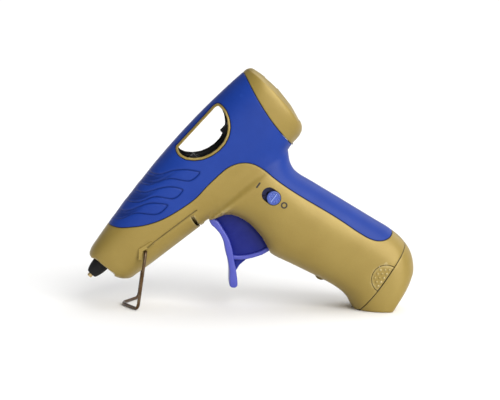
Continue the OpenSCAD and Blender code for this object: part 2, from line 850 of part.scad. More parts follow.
module wire_stand() {
    tip = [foot_tip_at.x, 0, foot_tip_at.y];
    color("sienna") {
        for (side = [-1, 1]) {
            top = [stand_at.x, side * arm_y, stand_at.y];
            foot = [foot_at.x, side * arm_y, foot_at.y];
            wire_between([stand_at.x, side * stub_y, stand_at.y], top);
            wire_between(top, foot);
            wire_between(foot, tip);
            translate(top) sphere(d = bend_d);
            translate(foot) sphere(d = bend_d);
        }
        translate(tip) sphere(d = bend_d);
    }
}

left_housing();
right_housing();
left_overlay();
right_overlay();
rear_cap();
housing_screws();
nozzle();
nozzle_boot();
melt_chamber();
heater_element();
heater_clamp();
thermal_cutout();
inlet_sleeve();
sleeve_clip();
stick_guide();
feed_carriage();
stick_gripper();
trigger();
trigger_pin();
return_spring();
switch_body();
switch_slider();
battery_tray();
batteries();
upper_contacts();
contact_springs();
battery_cover();
cover_contacts();
left_release_button();
right_release_button();
lead_wires();
wire_stand();
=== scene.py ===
import json
from math import acos, atan2, ceil, cos, pi, radians, sin, tan

import bmesh
import bpy
import numpy as np
from mathutils import Matrix, Vector, geometry
from mathutils.bvhtree import BVHTree
from mathutils.kdtree import KDTree

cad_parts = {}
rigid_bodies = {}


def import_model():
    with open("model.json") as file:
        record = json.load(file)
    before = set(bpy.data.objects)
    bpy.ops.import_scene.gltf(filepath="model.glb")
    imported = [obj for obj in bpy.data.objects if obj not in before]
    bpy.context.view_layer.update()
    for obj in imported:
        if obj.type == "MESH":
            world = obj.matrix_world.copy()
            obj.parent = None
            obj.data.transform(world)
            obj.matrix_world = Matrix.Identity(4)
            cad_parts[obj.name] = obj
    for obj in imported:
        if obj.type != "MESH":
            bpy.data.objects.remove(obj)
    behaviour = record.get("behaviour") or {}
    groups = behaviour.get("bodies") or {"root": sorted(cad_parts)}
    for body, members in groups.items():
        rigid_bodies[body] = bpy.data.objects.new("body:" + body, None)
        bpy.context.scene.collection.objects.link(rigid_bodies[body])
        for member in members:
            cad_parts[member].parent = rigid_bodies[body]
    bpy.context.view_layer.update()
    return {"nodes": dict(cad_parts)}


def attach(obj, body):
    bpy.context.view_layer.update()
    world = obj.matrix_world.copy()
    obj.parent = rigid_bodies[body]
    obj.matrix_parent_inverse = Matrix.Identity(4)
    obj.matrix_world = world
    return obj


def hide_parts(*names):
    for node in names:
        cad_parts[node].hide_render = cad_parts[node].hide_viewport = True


for o in list(bpy.data.objects):
    bpy.data.objects.remove(o)
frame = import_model()
scene = bpy.context.scene

# --- camera

VIEW_AZ, VIEW_EL, VIEW_ROLL = (radians(a) for a in (-3.4, 6.8, 1.27))
VIEW_AT = Vector((-0.0015, 0, 0.0645))  # metres
VIEW_FAR = 0.963
LENS = 115.56
level = cos(VIEW_EL)
view_back = Vector((sin(VIEW_AZ) * level, -cos(VIEW_AZ) * level, sin(VIEW_EL)))
camera = bpy.data.objects.new("camera", bpy.data.cameras.new("camera"))
camera.data.sensor_width, camera.data.lens = 36, LENS
turned = view_back.to_track_quat("Z", "Y").to_matrix().to_4x4() @ Matrix.Rotation(VIEW_ROLL, 4, "Z")
camera.matrix_world = Matrix.Translation(VIEW_AT + view_back * VIEW_FAR) @ turned
scene.collection.objects.link(camera)
scene.camera = camera

# --- body's own measures, in mm, side view (x, z)

norm = np.linalg.norm


def unit(angle):
    return np.array([cos(angle), sin(angle)])


def left(d):
    """The direction d turned a quarter turn to its left."""
    return np.array([-d[1], d[0]])


POWER = 2.6  # of the superellipse that each section follows
BARREL_W = 21.0  # half width
GRIP_W = 19.4  # half width
BLEND = 5.0  # between barrel and grip
BASE_ROUND = 1.2  # at the edge of the foot
WALL = 2.4
OVERLAY = 1.35  # the overlay's thickness
RIM = 1.7  # width of the window's frame
GAP = 0.09  # that each zone's edge stands back from its neighbour
TIP = np.array([-97.2, 17.1])  # the nozzle's end, where stations along the glue path start
PATH = unit(radians(47.8))  # direction of the glue path
STUB_S = 94.5  # stations of the carriage's stub, the guide's end and the inlet's mouth
GUIDE_END = 149
MOUTH_END = GUIDE_END + 9.4
INLET_R = 3.9
PIVOT = np.array([-7.4, 62.0])  # the trigger's pin
STAND = np.array([-63.4, 34.9])  # the stand's pivot
FOOT_X = -67.6  # corner of the stand's foot
TOE_X = -76.3
WIRE = 1.9
FOOT_Z = WIRE * 0.54
ARM_Y = 20.0  # the stand's arm
STUB_Y = 15.4  # its end inside the housing
FOLDED = unit(radians(135))  # direction that +X takes when the stand is folded
HOOK_Y = 18.9  # hook around the stand's pivot
RECESS_Y = 18.3  # recess for the folded arm, with its direction and its extent from the pivot
RECESS_E = unit(radians(38.2))
RECESS_NEAR, RECESS_FAR = 2.5, 38.5
RECESS_LOW, RECESS_HIGH = -14, 1.6
SWITCH = np.array([9.9, 69.2])  # middle of the switch's slot
SLIDE = unit(radians(144.6))
BUTTON_D = 8.2
TRAVEL = 3.2
FACE_Y = 21.2  # the button's face
SCREW_R = 3
SCREWS = [(-52, 42), (-63.5, 72), (-12.5, 127), (10, 95), (29, 68), (42.7, 21)]
PAD_A = np.array([84.3, 27.6])  # ends of the release button's arc
PAD_B = np.array([74.6, 13.1])

# Rows: a point of the upper or rear edge, one of the lower or front edge, share of the half width
BARREL = [
    (-95.6, 29.2, -82, 18.2, 0.52), (-97, 31.2, -77.5, 16.7, 0.64), (-95.8, 34.8, -72.4, 16.9, 0.72),
    (-92.6, 39.8, -67.4, 20.3, 0.79), (-85.2, 50.7, -58.6, 27, 0.87), (-77, 62.4, -48.5, 35, 0.92),
    (-68.4, 73.9, -38, 43.3, 0.96), (-59.6, 85.2, -27.3, 51.8, 0.985), (-50.5, 96.3, -16, 60.5, 1),
    (-41.1, 107.1, -4.5, 70, 1), (-31.4, 117.6, 7, 80, 1), (-21.4, 127.7, 16.5, 90, 1),
    (-11.1, 137.5, 22.6, 98.8, 0.985), (-3.8, 143.4, 27.2, 104.4, 0.965), (1.3, 141.8, 28.4, 109.2, 0.91),
    (8.6, 136.5, 26.3, 114.4, 0.72), (13.8, 131.7, 21.9, 121.9, 0.42)]
GRIP = [
    (14.5, 103, -34.9, 65.5, 0.8), (17.8, 99.6, -31, 61, 0.94), (20.2, 95.8, -27, 56.5, 0.98),
    (20.9, 92.4, -26.5, 52.2, 1.04), (21.9, 88, -17.5, 55.6, 1.045), (24.3, 83.8, -10.7, 55, 1.045),
    (27.9, 80.7, -3.6, 51.1, 1.04), (32.1, 78.3, 1.8, 46, 1.03), (36.8, 75.7, 6.2, 40.3, 1.02),
    (42.5, 72.4, 11.4, 32.9, 1.01), (52, 66.9, 24, 26.7, 1), (63, 60.5, 37.1, 20.5, 0.99),
    (74, 54.1, 47.6, 15.2, 0.985), (82.8, 49, 54.3, 10.8, 0.985), (90.5, 43, 58, 7.2, 0.985),
    (96.1, 35, 60.6, 2.8, 0.985), (98.1, 25.4, 63.5, -1.5, 0.98), (96.3, 17.7, 67.5, -5, 0.97),
    (92.9, 11.1, 72, -7.5, 0.94), (88.4, 4.6, 76.5, -8.5, 0.88), (84, -2.2, 80.5, -7.5, 0.8)]
CAP_SEAM = [(-9.6, 146.5), (-7.7, 141.8), (-2.2, 130.9), (2.5, 122.9), (8.6, 114), (14.4, 107), (20.2, 100.9),
            (25, 96.8)]
OVERLAY_EDGE = [(-97, 51), (-85.9, 49.7), (-79.9, 48.9), (-73.8, 49.3), (-64.4, 50.8), (-55, 54),
                (-45.1, 59.6), (-35.1, 66.9), (-27.6, 75.1), (-19.8, 82.7), (-15.2, 86.2), (-10, 88.2),
                (-4.8, 88.6), (0.5, 87.3), (6.3, 83.9), (11.7, 79.6), (19.7, 74.1), (30.5, 67.5), (44.8, 59.4),
                (52.8, 54.5), (62, 48.5), (69.6, 44.4), (75.8, 43.2), (81.8, 45), (86.6, 50.8)]
COVER_SEAM = [(97, 50), (93.9, 44.5), (91.8, 39.8), (88.5, 33.9), (84.1, 27.3), (79.3, 19.9), (74.5, 12.9),
              (66, 1.6), (62.4, -3.5)]
BEVEL = [(-5.5, 143.6), (0.5, 139.1), (5.9, 134.1), (9.9, 130.8), (13.6, 127), (17.9, 122.6), (21.6, 118),
         (24.4, 113.4)]
WINDOW = [(-46.9, 97.4), (-24.9, 122), (-22.7, 123.2), (-20.3, 122.4), (-17.6, 119.3), (-15.6, 114.6),
          (-14.9, 109.4), (-15.7, 104.2), (-18, 99.4), (-21.6, 95.4), (-26, 92.3), (-31, 90.2), (-36.2, 89.5),
          (-41.2, 90), (-45, 91.9), (-47, 94.9)]
HOOK = [(-67.6, 30.2), (-67.4, 36.6), (-60.2, 41.2), (-58.9, 39.3), (-65.2, 35.4), (-65.3, 30.2)]
FLANGE = [(-25.9, 53.4), (-24.6, 50.2), (-22.3, 48.2), (-19.2, 44.4), (-17, 39.4), (-15.9, 33.9),
          (-14.3, 28.4), (-13.5, 23.1), (-13.4, 18), (-13.2, 14.2), (-12.3, 12.8), (-10.8, 12.4), (-9.1, 12.8),
          (-8.3, 14.8), (-9.2, 22), (-10.5, 28.2), (-11.8, 35.2), (-13.9, 41.6), (-17.6, 47.8), (-21.6, 53.2)]
WEB = FLANGE[:-5:-1] + [
    (-10.4, 28.2), (-9.5, 21.6), (-7, 25.7), (-3.4, 28.8), (1.6, 30.6), (6.2, 31.7), (11, 34.6),
    (12.2, 39.5), (7.5, 48.5), (-1.2, 58.4), (-12, 66), (-19.5, 61)]
# Leaves pressed into the overlay: outline above and below the tip, then the flutes that run into the leaf
LEAVES = [
    [[(-32.7, 83), (-36.2, 83.7), (-40.6, 84.2), (-45.7, 83.9), (-49.5, 83.1), (-52.6, 82), (-55.8, 81),
      (-59.6, 81), (-63, 81.8)],
     [(-32.7, 83), (-33.1, 81.7), (-35.4, 79.3), (-38.6, 77.6), (-42.4, 77.8), (-46.9, 78.6), (-50, 78.7),
      (-53.8, 77.9), (-57.6, 76.4), (-61.4, 74.7), (-64.6, 74.5), (-68.5, 74.9)],
     [(-45.7, 82.7), (-50.1, 80.6), (-54.5, 77.9), (-58.9, 76.3), (-63, 76.1), (-67.5, 76.6)],
     [(-48.8, 82.6), (-53.9, 80.2), (-58.3, 78.5), (-62.7, 77.7), (-66.2, 78.2)],
     [(-52.6, 81.7), (-57, 79.9), (-60.8, 79.2), (-65, 79.8)]],
    [[(-42.4, 72.4), (-45.5, 73.5), (-50, 73.9), (-55, 73.1), (-60.1, 71.5), (-63.9, 70.3), (-67.7, 70.1),
      (-72.5, 70.9)],
     [(-42.4, 72.4), (-42.7, 71.3), (-45.4, 68.2), (-48.6, 66.9), (-52.4, 67.3), (-56.2, 67.9), (-60, 67.6),
      (-63.8, 66), (-67.6, 64.5), (-72, 64), (-77, 64.6)],
     [(-56.3, 72.1), (-60.7, 69.9), (-65.1, 67.6), (-69.5, 66.1), (-74, 65.8), (-78, 66.4)],
     [(-58.8, 71.5), (-63.9, 69), (-68.3, 67.7), (-72.1, 67.5), (-76, 68.2)],
     [(-62.6, 70.2), (-67, 68.9), (-70.5, 68.8), (-74.5, 69.4)]],
    [[(-51.2, 63.3), (-54.9, 63.9), (-60, 64.1), (-63.8, 63.4), (-68.8, 61.3), (-72.6, 59.6), (-77, 58.6),
      (-81, 59.3)],
     [(-51.2, 63.3), (-51.6, 62), (-54.8, 58.8), (-58, 57.5), (-61.8, 57.4), (-66.2, 57.9), (-70, 57.8),
      (-73.8, 56.4), (-77.6, 54.5), (-80.8, 53.6), (-85.5, 54.2)],
     [(-65, 62.2), (-69.4, 59.8), (-73.8, 57.5), (-78, 55.9), (-81.4, 55.3), (-85.5, 56)],
     [(-67.6, 61.3), (-72, 59), (-76.1, 57.2), (-79.5, 56.8), (-84, 57.4)],
     [(-71.3, 59.7), (-75.1, 58.2), (-78.3, 57.8), (-82.5, 58.3)]]]


def circle(mid, r, n):
    """Points around a circle, from its +X side."""
    return np.array([np.array(mid) + r * unit(a) for a in np.linspace(0, 2 * pi, n, False)])


def looped(points):
    """The points with the first one repeated at the end."""
    return np.vstack([points, points[:1]])


def smooth_rows(rows, steps=8):
    """Catmull-Rom through the rows, as the CAD lofts them."""
    r = np.array(rows, float)
    n = len(r) - 1
    out = []
    for i in range(n):
        a, b, c, d = r[max(i - 1, 0)], r[i], r[i + 1], r[min(i + 2, n)]
        for k in range(steps):
            t = k / steps
            bend = (2 * a - 5 * b + 4 * c - d) * t * t + (3 * b - a - 3 * c + d) * t ** 3
            out.append(0.5 * (2 * b + (c - a) * t + bend))
    return np.array(out + [r[-1]])


def resample(points, step, closed=False):
    """Points along a polyline at about one step apart, keeping its ends."""
    p = np.array(points, float)
    if closed:
        p = looped(p)
    run = np.r_[0, np.cumsum(norm(np.diff(p, axis=0), axis=1))]
    n = max(2, int(round(run[-1] / step)))
    at = np.linspace(0, run[-1], n + 1)
    q = np.stack([np.interp(at, run, p[:, i]) for i in range(2)], 1)
    return q[:-1] if closed else q


def curve(points, step=0.7, closed=False):
    """A smooth curve through the points, resampled."""
    p = np.array(points, float)
    if closed:
        p = np.vstack([p[-1:], p, p[:2]])
        return resample(smooth_rows(p)[8:8 * (len(p) - 2)], step, True)
    return resample(smooth_rows(p), step)


def inside(q, polygon):
    """Which of the points q lie inside the polygon."""
    poly = np.array(polygon, float)
    x, z = q[:, 0], q[:, 1]
    hit = np.zeros(len(q), bool)
    for (x0, z0), (x1, z1) in zip(poly, np.roll(poly, -1, axis=0)):
        if z0 != z1:
            hit ^= ((z0 > z) != (z1 > z)) & (x < (x1 - x0) * (z - z0) / (z1 - z0) + x0)
    return hit


def distance(q, lines):
    """Distance from each point of q to the nearest of the polylines."""
    dense = np.vstack([resample(l, 0.12) for l in lines])
    tree = KDTree(len(dense))
    for i, (x, z) in enumerate(dense):
        tree.insert((x, z, 0), i)
    tree.balance()
    return np.array([tree.find((x, z, 0))[2] for x, z in q])


def segment_distance(q, line):
    """Exact distance from each point of q to the polyline."""
    best = np.full(len(q), 1e9)
    for a, b in zip(line[:-1], line[1:]):
        d = b - a
        t = np.clip((q - a) @ d / max(d @ d, 1e-12), 0, 1)
        best = np.minimum(best, norm(q - a - t[:, None] * d, axis=1))
    return best


def offset(points, d, closed=False):
    """The polyline moved sideways by d, to the left of its direction."""
    p = np.array(points, float)
    if closed:
        t = np.roll(p, -1, 0) - np.roll(p, 1, 0)
    else:
        t = np.vstack([p[1] - p[0], p[2:] - p[:-2], p[-1] - p[-2]])
    t /= norm(t, axis=1)[:, None] + 1e-12
    return p + d * np.stack([-t[:, 1], t[:, 0]], 1)


def grown(points, d):
    """A closed curve moved outwards by d (inwards if negative), without the loops that tight bends give."""
    p = np.array(points, float)
    turn = np.sum(p[:, 0] * np.roll(p[:, 1], -1) - np.roll(p[:, 0], -1) * p[:, 1])
    q = offset(p, -d if turn > 0 else d, True)
    if len(p) < 20:
        return q
    clear = distance(q, [looped(p)]) > 0.97 * abs(d)
    return resample(q[clear], 0.6, True)


# --- height of the body's side over the middle plane


def bands(rings, sides, closed=False):
    """Quads between rings of points that follow each other, and between the last and the first if closed."""
    return [(j * sides + k, j * sides + (k + 1) % sides, (j + 1) % rings * sides + (k + 1) % sides,
             (j + 1) % rings * sides + k) for j in range(rings if closed else rings - 1) for k in range(sides)]


def loft_tree(rows, half_w, sides=144):
    """The lofted body as a tree for ray casts."""
    r = smooth_rows(rows)
    a = np.arange(sides) * 2 * pi / sides
    c, s = (np.sign(v) * np.abs(v) ** (2 / POWER) for v in (np.cos(a), np.sin(a)))
    mid, half = (r[:, :2] + r[:, 2:4]) / 2, (r[:, :2] - r[:, 2:4]) / 2
    ring = np.stack([mid[:, None, 0] + half[:, None, 0] * c, r[:, None, 4] * half_w * s + 0 * c,
                     mid[:, None, 1] + half[:, None, 1] * c], 2)
    return BVHTree.FromPolygons(ring.reshape(-1, 3).tolist(), bands(len(r), sides))


barrel_tree, grip_tree = loft_tree(BARREL, BARREL_W), loft_tree(GRIP, GRIP_W)


def ray(tree, x, z):
    """Half width of one lofted body at (x, z), or 0 beside it."""
    hit = tree.ray_cast(Vector((x, 60, z)), Vector((0, -1, 0)))[0]
    return hit.y if hit is not None and hit.y > 0 else 0.0


RECESS = [STAND + u * RECESS_E + v * left(RECESS_E) for u, v in (
    (RECESS_NEAR, RECESS_LOW), (RECESS_FAR, RECESS_LOW),
    (RECESS_FAR, RECESS_HIGH), (RECESS_NEAR, RECESS_HIGH))]


def height(q, details=True):
    """Half width of the body at each point (x, z)."""
    b = np.array([ray(barrel_tree, x, z) for x, z in q])
    g = np.array([ray(grip_tree, x, z) for x, z in q])
    k = BLEND * np.clip(np.minimum(b, g) / 8, 1e-6, 1)
    h = np.maximum(b, g) + k / 4 * np.clip(1 - np.abs(b - g) / k, 0, 1) ** 2
    low = np.clip(BASE_ROUND - q[:, 1], 0, BASE_ROUND)
    h -= BASE_ROUND - np.sqrt(np.clip(BASE_ROUND ** 2 - low ** 2, 0, None))
    if details:
        h = np.where(inside(q, grown(RECESS, 0.05)), np.minimum(h, RECESS_Y), h)
        h = np.where(inside(q, grown(HOOK, 0.05)), HOOK_Y, h)
    return h


def crossing(p, q):
    """Indices and place where polyline p first meets polyline q."""
    for i, (a, b) in enumerate(zip(p, p[1:])):
        for j, (c, d) in enumerate(zip(q, q[1:])):
            hit = geometry.intersect_line_line_2d(Vector(a), Vector(b), Vector(c), Vector(d))
            if hit is not None:
                return i, j, np.array(hit)
    raise ValueError("the polylines don't meet")


def body_outline():
    """Barrel and grip as one outline in side view, down to the ground."""
    b, g = smooth_rows(BARREL), smooth_rows(GRIP)
    top, under, rear, front = b[:, :2], b[:, 2:4], g[:, :2], g[:, 2:4]
    i1, j1, p1 = crossing(under[::-1], rear)
    i2, j2, p2 = crossing(front, under)
    ground = np.array([(0.0, 0.0), (200.0, 0.0)])
    i3, _, p3 = crossing(rear, ground)
    i4, _, p4 = crossing(front, ground)
    return np.vstack([top, under[::-1][:i1 + 1], [p1], rear[j1 + 1:i3 + 1], [p3], [p4],
                      front[i2 + 1:i4 + 1][::-1], [p2], under[:j2 + 1][::-1]])


raw_outline = body_outline()
# Rows closer than 0.05 mm to the next are dropped, long stretches are divided
keep = [raw_outline[0]]
for p in raw_outline[1:]:
    d = norm(p - keep[-1])
    if d > 0.05:
        n = int(ceil(d / 0.9))
        keep += [keep[-1] + (p - keep[-1]) * (k + 1) / n for k in range(n)]
OUTLINE = np.array(keep)
if norm(OUTLINE[0] - OUTLINE[-1]) < 0.05:
    OUTLINE = OUTLINE[:-1]
CLOSED_OUTLINE = looped(OUTLINE)
area = 0.5 * np.sum(OUTLINE[:, 0] * np.roll(OUTLINE[:, 1], -1) - np.roll(OUTLINE[:, 0], -1) * OUTLINE[:, 1])
INWARD = 1 if area > 0 else -1

# --- zones and the flat triangulation

cap_seam, overlay_seam, cover_seam = (curve(c) for c in (CAP_SEAM, OVERLAY_EDGE, COVER_SEAM))
bevel_line = curve(BEVEL)
window_seam = curve(resample(WINDOW, 1.8, True), 0.6, True)
window_hole = grown(window_seam, -RIM)
pad_mid, pad_r = (PAD_A + PAD_B) / 2, norm(PAD_A - PAD_B) / 2
pad_t = atan2(*(PAD_A - PAD_B)[::-1])
pad_arc = np.array([pad_mid + pad_r * unit(pad_t + a) for a in np.linspace(-0.06, pi + 0.06, 35)])
past_seam = -2 * left(unit(pad_t))
pad_zone = np.vstack([pad_arc, [PAD_B + past_seam, PAD_A + past_seam]])


def capsule(mid, direction, length, width, n=20):
    """An obround: a slot of the length between its round ends' centres."""
    u, v = direction * width / 2, left(direction) * width / 2
    return np.array([mid + sign * (direction * length / 2 + u * cos(a) + v * sin(a))
                     for sign in (1, -1) for a in np.linspace(-pi / 2, pi / 2, n)])


slot_hole = capsule(SWITCH, SLIDE, TRAVEL, BUTTON_D + 0.6)
screw_holes = [circle(at, SCREW_R, 24) for at in SCREWS]
recess_top = resample([RECESS[3], RECESS[2]], 0.8)
recess_end = resample([RECESS[2], RECESS[1]], 0.8)
hook_line = resample(HOOK, 0.5, True)

cap_zone = np.vstack([cap_seam, [(60, 96.8), (60, 170), (-9.6, 170)]])
over_zone = np.vstack([overlay_seam, [(100, 60), (60, 170), (-60, 170), (-110, 60)]])
cover_zone = np.vstack([cover_seam, [(130, -3.5), (130, 52)]])
grooves = [curve(l, 0.5) for leaf in LEAVES for l in leaf[:2]]
flutes = [curve(l, 0.5) for leaf in LEAVES for l in leaf[2:]]
seams = [cap_seam, overlay_seam, cover_seam, looped(window_seam)]
fine_seams = seams + [pad_arc]


def hex_grid(lo, hi, step):
    xs, zs = np.arange(lo[0], hi[0], step), np.arange(lo[1], hi[1], step * 0.866)
    return np.array([(x + (step / 2 if i % 2 else 0), z) for i, z in enumerate(zs) for x in xs])


def clear(q, margin, *others):
    """The points of q inside the outline, over the margin from it and over each distance from its lines."""
    q = q[inside(q, OUTLINE)]
    for lines, d in (([CLOSED_OUTLINE], margin), *others):
        q = q[distance(q, lines) > d]
    return q


def plan():
    """Triangles over the body's outline with every zone's edge among their edges."""
    chains = [(CLOSED_OUTLINE[:-1], True), (cap_seam, False), (overlay_seam, False), (cover_seam, False),
              (window_seam, True), (window_hole, True), (pad_arc, False), (slot_hole, True),
              (recess_top, False), (recess_end, False), (hook_line, True), (bevel_line, False)]
    chains += [(h, True) for h in screw_holes] + [(g, False) for g in grooves]
    points, edges = [], []
    for c, closed in chains:
        base = len(points)
        points += c.tolist()
        edges += [(base + i, base + (i + 1) % len(c)) for i in range(len(c) if closed else len(c) - 1)]
    inset = (0.008, 0.05, 0.18, 0.45, 0.9, 1.6)
    loose = np.vstack([offset(OUTLINE, INWARD * d, True) for d in inset])
    far = distance(loose, [CLOSED_OUTLINE])
    ring_points = loose[(far > 0.8 * np.repeat(inset, len(OUTLINE)) - 0.02) & inside(loose, OUTLINE)]
    near = []
    beside = [(c, (0.3, 0.65), False) for c in seams] + [
        (window_hole, (0.35, 0.8), True), (hook_line, (0.3,), True), (recess_top, (0.35,), False),
        (pad_arc, (0.3,), False), (slot_hole, (0.3,), True), (bevel_line, (0.3, 0.7), False)]
    for c, steps, closed in beside:
        line = looped(c) if closed else c
        for d in [sign * d for d in steps for sign in (1, -1)]:
            q = offset(c, d, closed)
            near.append(q[distance(q, [line]) > 0.9 * abs(d)])
    near = clear(np.vstack(near), 0.25)
    coarse = clear(hex_grid(OUTLINE.min(0), OUTLINE.max(0), 1.25), 2.1, (fine_seams, 1.15), (grooves + flutes, 1.5))
    fine = clear(hex_grid((-90, 50), (-28, 88), 0.48), 0.25, (grooves, 0.22), (seams, 0.8))
    fine = fine[distance(fine, grooves + flutes) <= 1.5]
    points += ring_points.tolist() + near.tolist() + coarse.tolist() + fine.tolist()
    result = geometry.delaunay_2d_cdt([Vector(p) for p in points], edges, [], 0, 1e-4, False)
    return np.array([tuple(v) for v in result[0]]), np.array([tuple(f) for f in result[2]])


flat, tris = plan()
centres = flat[tris].mean(1)
keep_tri = inside(centres, OUTLINE)
tris, centres = tris[keep_tri], centres[keep_tri]
corner = flat[tris]
turn = np.cross(corner[:, 1] - corner[:, 0], corner[:, 2] - corner[:, 0])
real = np.abs(turn) > 1e-7
tris, centres, turn = tris[real], centres[real], turn[real]
tris[turn < 0] = tris[turn < 0][:, ::-1]  # faces look along -Y, which is outwards on the left side
edge_far = distance(flat, [CLOSED_OUTLINE])
on_edge = segment_distance(flat, CLOSED_OUTLINE) < 2e-3
# Three outline points almost in line make no triangle
flat_corner = on_edge[tris].all(1) & (np.abs(turn) < 1e-3)
tris, centres, turn = tris[~flat_corner], centres[~flat_corner], turn[~flat_corner]
surface_h = height(flat)
surface_h[on_edge] = 0.0

ZONE_CAP, ZONE_OVER, ZONE_COVER, ZONE_PAD, ZONE_SHELL, ZONE_RIM, ZONE_HOLE = range(7)
zone = np.full(len(tris), ZONE_SHELL)
for kind, area in ((ZONE_OVER, over_zone), (ZONE_RIM, window_seam), (ZONE_HOLE, window_hole),
                   (ZONE_PAD, pad_zone), (ZONE_COVER, cover_zone), (ZONE_CAP, cap_zone)):
    zone[inside(centres, area)] = kind
in_slot = inside(centres, slot_hole)
in_screw = np.any([inside(centres, h) for h in screw_holes], axis=0)

# --- sinking: how far each point is sunk below the surface, and the weight of the painted shade in seams and grooves

skin0 = np.stack([flat[:, 0], -surface_h, flat[:, 1]], 1)
fn = np.cross(skin0[tris[:, 1]] - skin0[tris[:, 0]], skin0[tris[:, 2]] - skin0[tris[:, 0]])
normal = np.zeros_like(skin0)
for i in range(3):
    np.add.at(normal, tris[:, i], fn)
normal[on_edge, 1] = 0
normal /= norm(normal, axis=1)[:, None] + 1e-12


def fade(d, at, depth):
    """Depth at the distance d, between the depths given at the distances at."""
    return np.interp(d, at, depth)


sunk = fade(distance(flat, seams), [0, 0.3, 0.65], [0.36, 0.07, 0])
at_arc = fade(distance(flat, [pad_arc]), [0, 0.3, 0.65], [0.36, 0.07, 0])
sunk = np.where(inside(flat, cover_zone), sunk, np.maximum(sunk, at_arc))
past_bevel = inside(flat, np.vstack([bevel_line, [(60, 112), (60, 170), (-6, 170)]]))
bevel_d = distance(flat, [bevel_line])
lip = -fade(bevel_d, [0, 0.3, 0.7], [0.05, 0.03, 0])
sunk = sunk + np.where(past_bevel, fade(bevel_d, [0, 0.3, 0.7, 2], [-0.05, 0.2, 0.4, 0.55]), lip)
in_over = inside(flat, over_zone) & ~inside(flat, window_seam)
groove = fade(distance(flat, grooves), [0, 0.2, 0.5, 0.8], [0.6, 0.42, 0.08, 0])
for f in flutes:
    d = distance(flat, [f])
    reach = np.clip((f[:, 0].max() - flat[:, 0]) / 9, 0, 1)
    groove = np.maximum(groove, 0.62 * reach * np.clip(1 - (d / 1.25) ** 2, 0, 1) ** 1.5)
groove *= np.interp(edge_far, [0, 3], [0.3, 1])
sunk = np.where(in_over, np.maximum(sunk, groove), sunk)
rim_t = np.clip(distance(flat, [looped(window_seam)]) / RIM, 0, 1)
hole_d = distance(flat, [looped(window_hole)])
in_rim = inside(flat, window_seam)
sunk = np.maximum(sunk, fade(distance(flat, [recess_top]), [0, 0.35, 0.7], [0.3, 0.12, 0]))
in_frame = fade(hole_d, [0, 0.35, 0.8], [0.6, 0.12, 0])
in_frame += fade(rim_t, [0, 0.15, 0.5, 1], [0.36, 0.02, -0.22, -0.1])
sunk = np.where(in_rim, in_frame, sunk)
sunk[on_edge] *= 0.4
# Painted shade: seams, the recess edge and the overlay's grooves are darkened in colour by this weight, which the
# points carry as an attribute.
seam_shade = fade(distance(flat, seams + [recess_top]), [0, 0.3, 0.6], [1, 0.35, 0])
relief_shade = np.clip(np.maximum(seam_shade, np.where(in_over, groove / 1.1, 0)), 0, 1)
skin = skin0 - normal * sunk[:, None]
under = skin0 - normal * OVERLAY
under[on_edge, 1] = -0.1


def edge_shift(faces, amount):
    """Moves a zone's own cut edges inwards in side view, which leaves a gap between zones."""
    count = {}
    for t in faces.tolist():
        for a, b, c in ((0, 1, 2), (1, 2, 0), (2, 0, 1)):
            count.setdefault(tuple(sorted((t[a], t[b]))), []).append(t[c])
    shift = np.zeros_like(flat)
    for (a, b), others in count.items():
        if len(others) == 1 and not (on_edge[a] and on_edge[b]):
            d = flat[b] - flat[a]
            n = left(d) / (norm(d) + 1e-12)
            n *= np.sign(np.dot(n, flat[others[0]] - flat[a])) or 1
            shift[a] += n
            shift[b] += n
    size = norm(shift, axis=1)
    some = size > 1e-9
    shift[some] *= (amount / size[some])[:, None]
    return shift


def zone_skin(select, side, gap, middle_y, hidden=None):
    """Points, faces, thickness weights and painted-shade weights of the selected triangles on one side.

    Triangles in hidden lie deeper, under the overlay, and a step joins them to the others."""
    faces = tris[select]
    low = hidden[select] if hidden is not None else np.zeros(len(faces), bool)
    shift = edge_shift(faces[~low], gap)
    n = len(flat)
    key = faces + n * low[:, None]
    used, index = np.unique(key, return_inverse=True)
    index = index.reshape(-1, 3)
    ids, layer = used % n, used // n
    pts = np.where(layer[:, None] == 1, under[ids], skin[ids])
    pts[layer == 0, 0] += shift[ids[layer == 0], 0]
    pts[layer == 0, 2] += shift[ids[layer == 0], 1]
    middle = on_edge[ids]
    pts[middle, 1] = -middle_y
    faces_out = [tuple(f) for f in index]
    if low.any():
        where = {k: i for i, k in enumerate(used.tolist())}
        turns = ((0, 1), (1, 2), (2, 0))
        upper = {(t[a], t[b]) for t in faces[~low].tolist() for a, b in turns}
        steps = [(t[a], t[b]) for t in faces[low].tolist() for a, b in turns if (t[b], t[a]) in upper]
        faces_out += [(where[a + n], where[a], where[b], where[b + n]) for a, b in steps]
    if side > 0:
        pts = pts * np.array([1, -1, 1])
        faces_out = [f[::-1] for f in faces_out]
    thin = np.interp(edge_far[ids], [0, 1, 6], [0.45, 0.45, 1])
    # Points under the overlay take the full weight of painted shade.
    return pts, faces_out, np.where(layer == 1, 0.44, 1.0) * thin, np.where(layer == 1, 1.0, relief_shade[ids])


# --- making objects


def placed(name, me):
    o = bpy.data.objects.new(name, me)
    scene.collection.objects.link(o)
    return o


def smoothed(me, degrees):
    me.shade_smooth()
    me.set_sharp_from_angle(angle=radians(degrees))


def obj_from(name, pts, faces, smooth):
    """An object from points in mm, smooth over edges of up to that many degrees."""
    me = bpy.data.meshes.new(name)
    me.from_pydata((np.array(pts) / 1000).tolist(), [], [tuple(int(i) for i in f) for f in faces])
    me.validate()
    me.update()
    smoothed(me, smooth)
    return placed(name, me)


